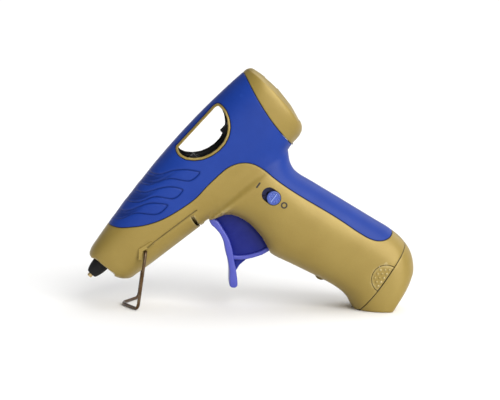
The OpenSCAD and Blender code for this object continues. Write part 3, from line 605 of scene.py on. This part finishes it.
def shell(name, parts, thickness, mats, weld=False, cuts=()):
    """A solid wall from one or more skins; cuts are functions that trim the skin first."""
    bm = bmesh.new()
    weight, depth = bm.verts.layers.float.new("w"), bm.verts.layers.float.new("relief_shade")
    for pts, faces, w, deep in parts:
        vs = [bm.verts.new(p) for p in pts.tolist()]
        for v, x, y in zip(vs, w, deep):
            v[weight], v[depth] = x, y
        for f in faces:
            if len(set(f)) == len(f):
                bm.faces.new([vs[i] for i in f])
    if weld:
        bmesh.ops.remove_doubles(bm, verts=[v for v in bm.verts if abs(v.co.y) < 1e-4], dist=1e-3)
    for cut in cuts:
        cut(bm)
    bmesh.ops.delete(bm, geom=[v for v in bm.verts if not v.link_faces], context="VERTS")
    bmesh.ops.scale(bm, vec=(0.001,) * 3, verts=bm.verts)
    ws = [v[weight] for v in bm.verts]
    me = bpy.data.meshes.new(name)
    bm.to_mesh(me)
    bm.free()
    o = placed(name, me)
    group = o.vertex_groups.new(name="thick")
    for i, x in enumerate(ws):
        group.add([i], x, "REPLACE")
    for m in mats:
        me.materials.append(m)
    solid = o.modifiers.new("wall", "SOLIDIFY")
    # Inner faces take the second material; where it is black, that is painted shade for the dark inside of the
    # body.
    solid.thickness, solid.offset, solid.material_offset = thickness / 1000, -1, 1
    solid.vertex_group, solid.thickness_vertex_group = "thick", 0
    wall = bpy.data.meshes.new_from_object(o.evaluated_get(bpy.context.evaluated_depsgraph_get()))
    o.modifiers.clear()
    o.data = wall
    smoothed(wall, 35)
    for v in wall.vertices:
        v.co.z = max(v.co.z, 0)
    return o


def plane_cut(bm, near, planes, gone):
    """Splits the faces that near picks along each plane (point, normal) and deletes those that gone picks."""
    for co, no in planes:
        faces = [f for f in bm.faces if near(f.calc_center_median())]
        ends = [v for f in faces for v in f.verts] + [e for f in faces for e in f.edges]
        geom = list(dict.fromkeys(ends)) + faces
        bmesh.ops.bisect_plane(bm, geom=geom, dist=1e-5, plane_co=co, plane_no=no)
    away = [f for f in bm.faces if gone(f.calc_center_median())]
    bmesh.ops.delete(bm, geom=away, context="FACES")


def tidy_window(o):
    """Puts stray points of the wall that reach into the window back on its edge."""
    line = resample(window_hole, 0.1, True) / 1000
    co = np.array([v.co for v in o.data.vertices])
    stray = inside(co[:, [0, 2]] * 1000, window_hole) & (np.abs(co[:, 1]) > 0.004)
    for i in np.nonzero(stray)[0].tolist():
        v = o.data.vertices[i]
        v.co.x, v.co.z = line[np.argmin(np.sum((line - co[i, [0, 2]]) ** 2, 1))]


ARCH = [(-29, 40), (-29, 53.9), (-27.1, 55.3), (-23.4, 57), (-18.3, 58.1), (-13.3, 57.8), (-8.2, 55.9),
        (-3, 52.6), (2.2, 47.5), (5.6, 43.5), (9.2, 37.3), (12, 31.5), (6, 26)]
ARCH_Y = 9.5


def cut_trigger_gap(bm):
    """Opens the housing where the trigger comes out."""
    def near(c):
        return -31 < c.x < 16 and 24 < c.z < 62 and abs(c.y) < 16

    def gone(c):
        return near(c) and abs(c.y) < ARCH_Y and inside(np.array([[c.x, c.z]]), ARCH)[0]

    planes = [((0, s * ARCH_Y, 0), (0, 1, 0)) for s in (-1, 1)]
    planes += [((a[0], 0, a[1]), (-(b[1] - a[1]), 0, b[0] - a[0])) for a, b in zip(ARCH[1:-1], ARCH[2:])]
    plane_cut(bm, near, planes, gone)


def cut_bore(bm):
    """Opens the cap for the stick with a many-sided hole along the glue path."""
    sides, r = 32, INLET_R + 1.2
    start, origin = Vector(on_path(0, 0, 140)), Vector(on_path(0, 0, 0))
    axis = [Vector(on_path(x, y, 0)) - origin for x, y in circle((0, 0), 1, sides)]
    along = Vector(on_path(0, 0, 1)) - origin

    def near(c):
        d = c - start
        return d.dot(along) > 0 and (d - d.dot(along) * along).length < r + 3

    plane_cut(bm, near, [(start + n * r, n) for n in axis],
              lambda c: near(c) and max((c - start).dot(n) for n in axis) < r)


def folded(x, z):
    """Where a point of the stand lies once it is folded up."""
    d = np.array([x, z]) - STAND
    return STAND + (d[0] * FOLDED + d[1] * left(FOLDED))


SLIT_HALF = 1.0


def slit_frame(side):
    """Start, axes and length of one leg of the folded foot: along it, out of the slit, across it."""
    apex, corner = folded(TOE_X, FOOT_Z), folded(FOOT_X, FOOT_Z)
    start = Vector((apex[0], 0, apex[1]))
    leg = Vector((corner[0], side * ARM_Y, corner[1])) - start
    u = leg.normalized()
    way = Vector((apex[1] - STAND[1], 0, STAND[0] - apex[0]))
    v = (way - way.dot(u) * u).normalized()
    return start, u, v, u.cross(v), leg.length


def slit_floor(side):
    """A floor behind the slit, closing it off from the inside."""
    start, u, v, w, length = slit_frame(side)
    lo, hi = (-0.8, -3.4, -2.6), (length * (RECESS_Y - 0.9) / ARM_Y, -1.1, 2.6)
    pts = [tuple(start + u * a + v * b + w * c)
           for a in (lo[0], hi[0]) for b in (lo[1], hi[1]) for c in (lo[2], hi[2])]
    faces = [(0, 1, 3, 2), (4, 6, 7, 5), (0, 4, 5, 1), (2, 3, 7, 6), (0, 2, 6, 4), (1, 5, 7, 3)]
    return pts, faces


def cut_slit(side):
    """A cut that opens the slit for the folded foot."""
    start, u, v, w, length = slit_frame(side)

    def near(c):
        d = c - start
        return -4 < d.dot(u) < length + 3 and abs(d.dot(w)) < 4 and -4 < d.dot(v) < 16

    def gone(c):
        d = c - start
        return abs(d.dot(w)) < SLIT_HALF and -2 < d.dot(u) < length and -1.5 < d.dot(v) < 14

    planes = [(start + w * SLIT_HALF, w), (start - w * SLIT_HALF, w)]
    planes += [(start + u * length, u), (start - v * 1.5, v)]
    return lambda bm: plane_cut(bm, near, planes, gone)


def outwards(o):
    """Turns a closed mesh's faces outwards."""
    bm = bmesh.new()
    bm.from_mesh(o.data)
    bmesh.ops.recalc_face_normals(bm, faces=bm.faces)
    bm.to_mesh(o.data)
    bm.free()
    return o


def joined(name, shapes, mat, smooth):
    """One object of one material from several closed shapes, each (points, faces) in mm."""
    pts, faces = [], []
    for p, f in shapes:
        faces += [tuple(i + len(pts) for i in face) for face in f]
        pts += [tuple(float(c) for c in q) for q in p]
    o = obj_from(name, pts, faces, smooth)
    o.data.materials.append(mat)
    return o


def rounded_prism(points, y0, y1, r, segments):
    """A plate with the side-view outline points, from y0 to y1, its long edges rounded by r."""
    bm = bmesh.new()
    face = bm.faces.new([bm.verts.new((x, y0, z)) for x, z in points])
    made = bmesh.ops.extrude_face_region(bm, geom=[face])["geom"]
    for v in made:
        if isinstance(v, bmesh.types.BMVert):
            v.co.y = y1
    bmesh.ops.recalc_face_normals(bm, faces=bm.faces)
    rims = [e for e in bm.edges if abs(e.verts[0].co.y - e.verts[1].co.y) < 1e-6]
    bmesh.ops.bevel(
        bm, geom=rims, offset=r, segments=segments, profile=0.5, affect="EDGES", clamp_overlap=True)
    bmesh.ops.triangulate(bm, faces=[f for f in bm.faces if len(f.verts) > 4])
    bm.verts.index_update()
    out = [tuple(v.co) for v in bm.verts], [tuple(v.index for v in f.verts) for f in bm.faces]
    bm.free()
    return out


def lathe(profile, place, sides=48, closed=True):
    """A turned shape: profile of (radius, station) from the near end, placed by place(x, y, s)."""
    turns = circle((0, 0), 1, sides)
    pts = [place(max(r, 1e-4) * x, max(r, 1e-4) * y, s) for r, s in profile for x, y in turns]
    return pts, bands(len(profile), sides, closed)


def turned_y(at, profile, sides=40):
    """A turned shape about an axis along Y: profile of (radius, y), anticlockwise."""
    return lathe(profile, lambda a, b, s: (at[0] + a, s, at[1] + b), sides)


def on_path(x, y, s):
    """Place at station s along the glue path, x towards the grip."""
    p = TIP + PATH * s - x * left(PATH)
    return (p[0], y, p[1])


def tube(path, d, sides=16):
    """A wire of diameter d along the points, with round ends."""
    p = [Vector(q) for q in path]
    pts = []
    t = [(p[min(i + 1, len(p) - 1)] - p[max(i - 1, 0)]).normalized() for i in range(len(p))]
    u = t[0].orthogonal().normalized()
    ends = ((0.46, 0.15), (0.32, 0.75))
    rings = [(p[0] - t[0] * d * out, share, t[0]) for out, share in ends]
    rings += [(q, 1.0, direction) for q, direction in zip(p, t)]
    rings += [(p[-1] + t[-1] * d * out, share, t[-1]) for out, share in ends[::-1]]
    for q, share, direction in rings:
        u = (u - u.dot(direction) * direction).normalized()
        v = direction.cross(u)
        for k in range(sides):
            a = 2 * pi * k / sides
            pts.append(tuple(q + d / 2 * share * (u * cos(a) + v * sin(a))))
    last = (len(rings) - 1) * sides
    return pts, bands(len(rings), sides) + [tuple(range(sides))[::-1], tuple(range(last, last + sides))]


def bent(corners, radii, steps=8):
    """The path through the corners with its bends rounded, each by its own radius."""
    c = [Vector(q) for q in corners]
    out = [c[0]]
    for a, b, d, radius in zip(c, c[1:], c[2:], radii):
        u, v = (a - b).normalized(), (d - b).normalized()
        half = acos(max(-1, min(1, u.dot(v)))) / 2
        cut = min(radius / tan(half), 0.45 * (a - b).length, 0.45 * (d - b).length)
        for k in range(steps + 1):
            s = k / steps
            pull = b + (u + v) * cut * 0.18
            out.append((1 - s) ** 2 * (b + u * cut) + 2 * s * (1 - s) * pull + s * s * (b + v * cut))
    return out + [c[-1]]


def dome(at, y, r, h, side=-1):
    """A small round stud standing out from the side of the body."""
    profile = [(r, -0.25), (r, 0.0), (r * 0.9, h * 0.5), (r * 0.6, h * 0.88), (0, h)]
    pts, faces = lathe(profile, lambda a, b, s: (at[0] + a, side * (y + s), at[1] + b), 14, False)
    return pts, faces if side < 0 else [f[::-1] for f in faces]


# --- materials


class Nodes:
    """Builds one material's nodes."""

    def __init__(self, name):
        self.mat = bpy.data.materials.new(name)
        self.mat.use_nodes = True
        self.tree = self.mat.node_tree
        self.shader = self.tree.nodes["Principled BSDF"]

    def feed(self, socket, value):
        if isinstance(value, bpy.types.NodeSocket):
            self.tree.links.new(value, socket)
        else:
            socket.default_value = value

    def node(self, kind, values=(), **settings):
        n = self.tree.nodes.new(kind)
        for key, value in settings.items():
            setattr(n, key, value)
        for key, value in dict(values).items():
            self.feed(n.inputs[key], value)
        return n

    def noise(self, scale, detail, rough=0.55):
        at = self.node("ShaderNodeTexCoord").outputs["Object"]
        values = {"Vector": at, "Scale": scale, "Detail": detail, "Roughness": rough}
        return self.node("ShaderNodeTexNoise", values).outputs["Fac"]

    def spread(self, value, lo, hi, out_lo=0.0, out_hi=1.0):
        values = {0: value, 1: lo, 2: hi, 3: out_lo, 4: out_hi}
        return self.node("ShaderNodeMapRange", values, clamp=True).outputs[0]

    def mix(self, factor, a, b):
        return self.node("ShaderNodeMix", {0: factor, 6: (*a, 1) if isinstance(a, tuple) else a, 7: (*b, 1)},
                         data_type="RGBA").outputs[2]

    def math(self, op, a, b):
        return self.node("ShaderNodeMath", {0: a, 1: b}, operation=op).outputs[0]

    def set(self, **values):
        for key, value in values.items():
            self.feed(self.shader.inputs[key.replace("_", " ")], value)


def shade(colour, share):
    return tuple(c * share for c in colour)


def surface(name, base, other, metallic, rough, grain, grain_mm,
            coat=0.0, edge=None, blotch=35, relief_shade=0.0, gloss=0.5):
    """A finish with colour variation, edge wear, painted shade in hollows, seams and grooves, and roughness and
    bump from noise.
    """
    m = Nodes(name)
    broad = m.spread(m.noise(blotch, 4), 0.35, 0.65)
    fine = m.noise(1000 / grain_mm, 2)
    bend = m.node("ShaderNodeNewGeometry").outputs["Pointiness"]
    colour = m.mix(broad, base, other)
    colour = m.mix(m.spread(fine, 0.3, 0.7, 0, 0.22), colour, shade(base, 0.62))
    # Painted shade: colour darkened where the surface is hollow (low pointiness).
    colour = m.mix(m.math("MULTIPLY", m.spread(bend, 0.40, 0.49, 1, 0), 0.55), colour, shade(base, 0.3))
    if edge is not None:
        worn = m.math("MULTIPLY", m.spread(bend, 0.53, 0.60), m.spread(m.noise(160, 4), 0.4, 0.6))
        colour = m.mix(m.math("MULTIPLY", worn, 0.6), colour, edge)
    # Painted shade in seams, grooves and along the recess edge, read from the points' attribute.
    if relief_shade:
        deep = m.node("ShaderNodeAttribute", attribute_name="relief_shade").outputs["Fac"]
        colour = m.mix(m.math("MULTIPLY", deep, relief_shade), colour, shade(base, 0.12))
    smudge = m.spread(m.noise(22, 5, 0.65), 0.35, 0.7, -0.05, 0.07)
    roughness = m.math("ADD", m.spread(fine, 0.25, 0.75, rough - 0.05, rough + 0.05), smudge)
    bump = m.node("ShaderNodeBump", {"Height": fine, "Strength": grain, "Distance": 0.0001})
    m.set(Base_Color=colour, Metallic=metallic, Roughness=roughness, Normal=bump.outputs["Normal"],
          Specular_IOR_Level=gloss)
    if coat:
        m.set(Coat_Weight=coat, Coat_Roughness=0.3)
    return m.mat


GOLD = surface("gold_paint", (0.262, 0.182, 0.036), (0.292, 0.208, 0.046), 0.25, 0.42, 0.3, 0.32,
               0.1, (0.5, 0.42, 0.22), relief_shade=0.8, gloss=0.4)
BLUE = surface("soft_blue", (0.005, 0.03, 0.222), (0.008, 0.038, 0.256), 0, 0.44, 0.32, 0.28,
               edge=(0.02, 0.06, 0.32), relief_shade=0.8, gloss=0.2)
TRIGGER_BLUE = surface("trigger_blue", (0.04, 0.05, 0.35), (0.052, 0.064, 0.39), 0, 0.34, 0.12, 0.7,
                       0.2, (0.18, 0.22, 0.6))
# A darker copy of the trigger's blue for the web and hub: painted shade for the web, which sits recessed under the
# housing.
SHADED_WEB_BLUE = surface("shaded_web_blue", (0.005, 0.01, 0.16), (0.008, 0.015, 0.195), 0, 0.36, 0.12, 0.7,
                   edge=(0.05, 0.07, 0.36), gloss=0.2)
BUTTON_BLUE = surface("button_blue", (0.045, 0.085, 0.36), (0.055, 0.1, 0.42), 0, 0.36, 0.14, 0.5,
                      0.1, (0.13, 0.19, 0.52))
NAVY = surface("navy_plastic", (0.004, 0.005, 0.045), (0.006, 0.008, 0.06), 0, 0.45, 0.14, 0.5, gloss=0.3)
# A lighter blue for the switch's bar: a painted highlight where the raised bar catches the light.
BAR_HIGHLIGHT_BLUE = surface("bar_highlight_blue", (0.16, 0.24, 0.55), (0.22, 0.3, 0.62), 0, 0.4, 0.14, 0.5)
INK = surface("dark_ink", (0.01, 0.006, 0.003), (0.016, 0.01, 0.005), 0, 0.5, 0.1, 0.3)
# Black plastic for the inner parts; on the shells' inner faces it is painted shade.
BLACK = surface("black_plastic_and_inner_shade_look", (0.006, 0.006, 0.007), (0.01, 0.01, 0.011), 0, 0.5, 0.35, 0.35,
                edge=(0.03, 0.03, 0.033), gloss=0.3)
BOOT = surface("boot_rubber_look", (0.004, 0.004, 0.005), (0.008, 0.008, 0.008), 0, 0.6, 0.3, 0.4,
               edge=(0.02, 0.02, 0.02), gloss=0.25)
SLEEVE = surface("sleeve_look", (0.34, 0.05, 0.035), (0.4, 0.07, 0.045), 0, 0.5, 0.25, 0.5)
BRASS = surface("brass_look", (0.58, 0.43, 0.2), (0.68, 0.54, 0.29), 1, 0.3, 0.25, 0.3, edge=(0.8, 0.72, 0.52))
ALLOY = surface("alloy_look", (0.52, 0.52, 0.53), (0.62, 0.61, 0.6), 1, 0.42, 0.4, 0.5, edge=(0.8, 0.8, 0.8))
CERAMIC = surface("ceramic_look", (0.78, 0.76, 0.7), (0.86, 0.85, 0.81), 0, 0.4, 0.25, 0.4)
SPRING = surface("spring_look", (0.42, 0.42, 0.43), (0.52, 0.51, 0.5), 1, 0.28, 0.2, 0.25,
                 edge=(0.75, 0.75, 0.75))
STAND_METAL = surface("stand_look", (0.055, 0.028, 0.014), (0.13, 0.075, 0.035), 1, 0.3, 0.3, 0.3,
                      edge=(0.55, 0.46, 0.32), blotch=120)
SCREW = surface("screw_look", (0.1, 0.1, 0.1), (0.16, 0.155, 0.15), 1, 0.36, 0.25, 0.25, edge=(0.4, 0.4, 0.4))
CELL = surface("cell_look", (0.14, 0.15, 0.19), (0.18, 0.19, 0.22), 0.6, 0.3, 0.08, 0.6, 0.3)
PLATE = surface("contact_look", (0.56, 0.56, 0.54), (0.66, 0.65, 0.62), 1, 0.25, 0.2, 0.3,
                edge=(0.85, 0.85, 0.84))
SHEATH = surface("wire_look", (0.3, 0.02, 0.02), (0.36, 0.03, 0.03), 0, 0.42, 0.15, 0.4)

# --- housing, overlays, cap, cover


def finished(o, body, slot_name, *nodes):
    """Ties a piece to its body and hides the CAD nodes that it stands for; slot_name is not used."""
    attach(o, body)
    if nodes:
        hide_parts(*nodes)


def piece(name, shapes, mat, body, slot_name, *nodes, smooth=40):
    finished(joined(name, shapes, mat, smooth), body, slot_name, *nodes)


for side, word in ((-1, "left"), (1, "right")):
    holes = in_slot if side < 0 else in_screw
    wanted = np.isin(zone, (ZONE_SHELL, ZONE_RIM, ZONE_OVER)) & ~holes
    part = zone_skin(wanted, side, GAP, 0.1, zone == ZONE_OVER)
    # Black inner faces: painted shade inside the housing, seen through the window and the gaps.
    o = shell("housing_" + word, [part], WALL, [GOLD, BLACK], cuts=[cut_trigger_gap, cut_slit(side)])
    tidy_window(o)
    finished(o, "housing", "gold_shell", word + "_housing")
    piece("slit_floor_" + word, [slit_floor(side)], GOLD, "housing", "gold_shell")
    part = zone_skin((zone == ZONE_OVER) & ~holes, side, GAP, 0.04)
    o = shell("overlay_" + word, [part], OVERLAY - 0.12, [BLUE, BLUE])
    finished(o, "housing", "blue_overlay", word + "_overlay")

# Black inner faces of cap and cover: painted shade as well.
cap = [zone_skin(zone == ZONE_CAP, side, GAP, 0) for side in (-1, 1)]
finished(shell("cap_rear", cap, WALL, [GOLD, BLACK], True, [cut_bore]), "housing", "gold_shell", "rear_cap")
mouth = [(0, GUIDE_END), (1.15, GUIDE_END), (1.15, MOUTH_END - 0.3), (0.85, MOUTH_END), (0.4, MOUTH_END),
         (0, MOUTH_END - 0.5)]
mouth = [(INLET_R + thick, s) for thick, s in mouth[::-1]]
piece("inlet_mouth", [lathe(mouth, on_path, 64)], BLACK, "housing", "gold_shell")
cover = [zone_skin(zone == ZONE_COVER, side, GAP, 0) for side in (-1, 1)]
o = shell("cover_battery", cover, WALL, [GOLD, BLACK], True)
finished(o, "battery_cover", "gold_shell", "battery_cover")

# --- wells of the screws, on the right side

wells = []
for at in SCREWS:
    top = height(circle(at, SCREW_R, 16), False).min() - 0.7
    wells.append(turned_y(at, [(2.98, 9.6), (4.2, 9.6), (4.2, top - 1), (2.98, top)], 32))
piece("screw_wells", wells, GOLD, "housing", "gold_shell")

# --- release buttons


def dots(side):
    """Small domes in rows on a release button."""
    along = (PAD_A - PAD_B) / norm(PAD_A - PAD_B)
    shapes = []
    for row in range(4):
        for col in range(-4, 5):
            at = pad_mid + along * (col * 2.9 + (1.45 if row % 2 else 0)) + left(along) * (1.6 + row * 2.2)
            if norm(at - pad_mid) < pad_r - 1.5:
                shapes.append(dome(at, height(at[None, :])[0] - 0.3, 0.85, 0.42, side))
    return shapes


for side, word in ((-1, "left"), (1, "right")):
    o = shell("button_release_" + word, [zone_skin(zone == ZONE_PAD, side, 0.2, 0)], 1.0, [GOLD, GOLD])
    for v in o.data.vertices:
        v.co.y -= side * 0.0003
    node = word + "_release_button"
    finished(o, node, "gold_shell", node)
    piece("studs_" + word, dots(side), GOLD, node, "gold_shell", smooth=50)

# --- trigger

RIB_LINE = [(-11.4, 30.2), (-7.4, 30.1), (-3.7, 30.4), (0, 31.2), (3.2, 32.2), (6.6, 33.6), (9.8, 35.6),
            (12.2, 37.4)]
HUB_R = 6.5
HUB_Y = 8.8
PIN_R = 2.05
rib = curve(RIB_LINE, 0.8)
lever_end = TIP + PATH * STUB_S
lever_dir = (lever_end - PIVOT) / norm(lever_end - PIVOT)
lever_side = left(lever_dir)


def lever(y0, y1):
    """An arm from the hub to the carriage's stub, with an open fork at its end."""
    def around(r, start, end, n):
        return [lever_end + r * (cos(a) * lever_dir + sin(a) * lever_side)
                for a in np.linspace(start, end, n)]

    notch = [p + lever_dir * 0.2 for p in around(1.8, -0.9, -pi * 2 + 0.9, 15)]
    root = [PIVOT + lever_dir * 4 + lever_side * w for w in (3.2, -3.2)]
    outline = around(3.5, -1.1, -0.62, 5) + notch + around(3.5, 0.62, 1.1, 5) + root
    return rounded_prism(outline, y0, y1, 0.25, 1)


flange = rounded_prism(curve(FLANGE, 0.8, True), -9, 9, 0.9, 4)
rib_part = rounded_prism(np.vstack([offset(rib, 1.35), offset(rib, -1.2)[::-1]]), -5, 5, 0.7, 3)
web = rounded_prism(resample(WEB, 1.0, True), -3.3, 3.3, 0.4, 2)
hub = turned_y(PIVOT, [(PIN_R, -HUB_Y), (HUB_R - 0.5, -HUB_Y), (HUB_R, -HUB_Y + 0.5), (HUB_R, HUB_Y - 0.5),
                       (HUB_R - 0.5, HUB_Y), (PIN_R, HUB_Y)])
piece("trigger_lever", [flange, rib_part], TRIGGER_BLUE, "trigger", "blue_trigger", "trigger")
# Web and hub in the darker blue: painted shade.
piece("trigger_web", [web, hub], SHADED_WEB_BLUE, "trigger", "blue_trigger")
piece("trigger_arms", [lever(-8.6, -6), lever(6, 8.6)], BLACK, "trigger", "blue_trigger")

# --- switch

across = left(SLIDE)
at_rest = SWITCH - TRAVEL / 2 * SLIDE
R = BUTTON_D / 2
face = [(0.01, 3.5), (R, 3.5), (R, 0.45), (R - 0.12, 0.16), (R - 0.45, 0), (R - 0.8, 0.04),
        (R - 1.0, 0.4), (0.01, 0.4)]
button = [turned_y(at_rest, [(r, -FACE_Y + depth) for r, depth in face[::-1]], 48)]
for a, rows in ((1.45, (1.9, 0, -1.9)), (2.7, (0.95, -0.95))):
    button += [dome(at_rest + s * SLIDE + b * across, FACE_Y - 0.42, 0.55, 0.4) for s in (a, -a) for b in rows]
bar = rounded_prism(capsule(at_rest, across, 5.6, 0.55, 5), -FACE_Y - 0.06, -FACE_Y + 0.8, 0.12, 2)
piece("button_switch", button, BUTTON_BLUE, "switch_slider", "blue_button", "switch_slider")
# The bar in the lighter blue: painted highlight.
piece("bar_switch", [bar], BAR_HIGHLIGHT_BLUE, "switch_slider", "blue_button")


def printed(outline, hole=None, lift=0.05, sink=0.2):
    """A thin printed mark that follows the left side, with a hole of as many points as the outline."""
    pts = outline if hole is None else np.vstack([outline, hole])
    h = height(pts)
    n, k = len(pts), len(outline)
    verts = [(x, -(y + rise), z) for rise in (lift, -sink) for (x, z), y in zip(pts, h)]
    faces = [tuple(range(n)), tuple(range(n, 2 * n))[::-1]] if hole is None else []
    for i in range(k):
        j = (i + 1) % k
        if hole is not None:
            faces += [(i, j, k + j, k + i), (n + i, n + k + i, n + k + j, n + j),
                      (k + i, k + j, n + k + j, n + k + i)]
        faces.append((i, n + i, n + j, j))
    return verts, faces


MARK_ON = np.array([2.0, 75.7])
MARK_OFF = np.array([17.5, 64.0])
line = printed(capsule(MARK_ON, across, 3.0, 1.0, 4))
ring = printed(circle(MARK_OFF, 2.0, 28), circle(MARK_OFF, 1.1, 28))
piece("marks_switch", [line, ring], INK, "housing", "black_plastic", smooth=30)

# --- nozzle and boot

NOZZLE = [(0.8, 0), (1.2, 0), (1.42, 0.1), (1.5, 0.35), (1.5, 2.1), (3.3, 9), (3.3, 17), (4, 17), (4, 22.5),
          (2.4, 22.5), (0.8, 17)]
BOOT_PROFILE = [(1.5, 2.15), (2.65, 2.1), (2.9, 2.16), (3.12, 2.36), (3.3, 2.7), (3.65, 3.45), (3.95, 4.2),
                (4.3, 5.4), (4.6, 6.6), (4.82, 7.9), (4.97, 9), (5.06, 9.7), (5.1, 10.5), (5.1, 15),
                (6.8, 15), (6.8, 17), (3.32, 17), (3.32, 9)]
piece("tip_nozzle", [lathe(NOZZLE, on_path)], BRASS, "housing", "nozzle_brass", "nozzle", smooth=30)
piece("boot_nozzle", [lathe(BOOT_PROFILE, on_path)], BOOT, "housing", "boot_rubber", "nozzle_boot")

# --- stand

corners = []
for s in (-1, 1):
    half = [(STAND[0], s * STUB_Y, STAND[1]), (STAND[0], s * ARM_Y, STAND[1]), (FOOT_X, s * ARM_Y, FOOT_Z)]
    corners += half if s < 0 else [(TOE_X - 1.3, 0, FOOT_Z)] + half[::-1]
BENDS = [2, 2.9, 9, 2.9, 2]
wire = tube(bent(corners, BENDS), WIRE)
piece("wire_foot", [wire], STAND_METAL, "wire_stand", "stand_steel", "wire_stand", smooth=60)

# --- guide of the stick, a trough that turns into a tube

GUIDE_R = 5.5
GUIDE_BORE = 4.1
TROUGH_TOP = -2.7
TROUGH_S = 117.5
TUBE_S = 127.5


def trough():
    """The guide's open lower half, in front of its tube."""
    n = 24
    arcs = [(r, acos(TROUGH_TOP / r)) for r in (GUIDE_R, GUIDE_BORE)]
    pts = [on_path(r * cos(a), r * sin(a), s) for s in (TROUGH_S, TUBE_S + 0.4)
           for r, half in arcs for a in np.linspace(-half, half, n)]
    faces = []
    for i in range(n - 1):
        o0, o1, b0, b1 = i, i + 1, n + i, n + i + 1
        faces += [(o0, b0, b1, o1), (2 * n + o0, 2 * n + o1, 2 * n + b1, 2 * n + b0),
                  (o0, o1, 2 * n + o1, 2 * n + o0), (b0, 2 * n + b0, 2 * n + b1, b1)]
    e = n - 1
    return pts, faces + [(0, 2 * n, 3 * n, n), (e, n + e, 3 * n + e, 2 * n + e)]


tube_profile = [(GUIDE_BORE, TUBE_S), (GUIDE_R, TUBE_S), (GUIDE_R, 143.2), (GUIDE_R + 1.5, 143.2),
                (GUIDE_R + 1.5, 145), (GUIDE_R, 145), (GUIDE_R, GUIDE_END), (GUIDE_BORE, GUIDE_END)]
guide = joined("guide_stick", [trough(), lathe(tube_profile, on_path)], BLACK, 30)
finished(outwards(guide), "housing", "black_plastic", "stick_guide")

# --- CAD nodes that stay, with finished materials

KEPT = {
    "housing_screws": SCREW, "melt_chamber": ALLOY, "heater_element": CERAMIC, "heater_clamp": SPRING,
    "thermal_cutout": CERAMIC, "inlet_sleeve": SLEEVE, "sleeve_clip": SPRING, "feed_carriage": BLACK,
    "stick_gripper": PLATE, "trigger_pin": SPRING, "return_spring": SPRING, "switch_body": NAVY,
    "battery_tray": BLACK, "batteries": CELL, "upper_contacts": PLATE, "contact_springs": SPRING,
    "cover_contacts": PLATE, "lead_wires": SHEATH}
for name, mat in KEPT.items():
    node = frame["nodes"][name]
    if not node.material_slots:
        node.data.materials.append(mat)
    for s in node.material_slots:
        s.link = "OBJECT"
        s.material = mat

# --- floor, backdrop and lights

# A wide pale floor with a faintly rounded rim, in metres
floor_sides, floor_rings = 96, [(0.3, 0), (0.8, 0), (2, 0), (5, 0), (9, 0), (9.2, -0.05)]
pts = [(r * x, r * y, z * 1000) for r, z in floor_rings for x, y in circle((0, 0), 1000, floor_sides)]
faces = [tuple(range(floor_sides))] + [f[::-1] for f in bands(len(floor_rings), floor_sides)]
floor = obj_from("studio_floor", pts, faces, 60)
m = Nodes("pale_floor")
m.set(Base_Color=m.mix(m.noise(3, 2), (0.9, 0.9, 0.9), (0.93, 0.93, 0.93)),
      Roughness=m.spread(m.noise(40, 3), 0, 1, 0.8, 0.95), Specular_IOR_Level=0.2)
floor.data.materials.append(m.mat)

# The sky is dim overhead and white in a band at the horizon, as a studio's walls are
SKY_BAND, SKY_TOP = 1.05, 0.22
BAND_FROM, BAND_TO = 0.10, 0.22
world = bpy.data.worlds.new("studio_world")
world.use_nodes = True
sky = world.node_tree
way, split, ramp = (sky.nodes.new("ShaderNode" + kind) for kind in ("TexCoord", "SeparateXYZ", "MapRange"))
back = sky.nodes["Background"].inputs
back["Color"].default_value = (1, 1, 1, 1)
ramp.interpolation_type = "SMOOTHSTEP"
for i, value in enumerate((BAND_FROM, BAND_TO, SKY_BAND, SKY_TOP), 1):
    ramp.inputs[i].default_value = value
for out, into in ((way.outputs["Generated"], split.inputs[0]), (split.outputs[2], ramp.inputs[0]),
                  (ramp.outputs[0], back["Strength"])):
    sky.links.new(out, into)
scene.world = world


def sun(name, way, strength, spread, colour=(1, 1, 1)):
    """A soft light from the direction way."""
    data = bpy.data.lights.new(name, "SUN")
    data.energy, data.angle, data.color = strength * pi, radians(spread), colour
    placed(name, data).rotation_euler = Vector(way).to_track_quat("Z", "Y").to_euler()


sun("key_light", (0.45, -0.75, 0.48), 1.1, 55, (1.0, 0.99, 0.97))
sun("top_light", (0.5, 0.3, 0.8), 0.6, 80)

scene.view_settings.view_transform = "Standard"
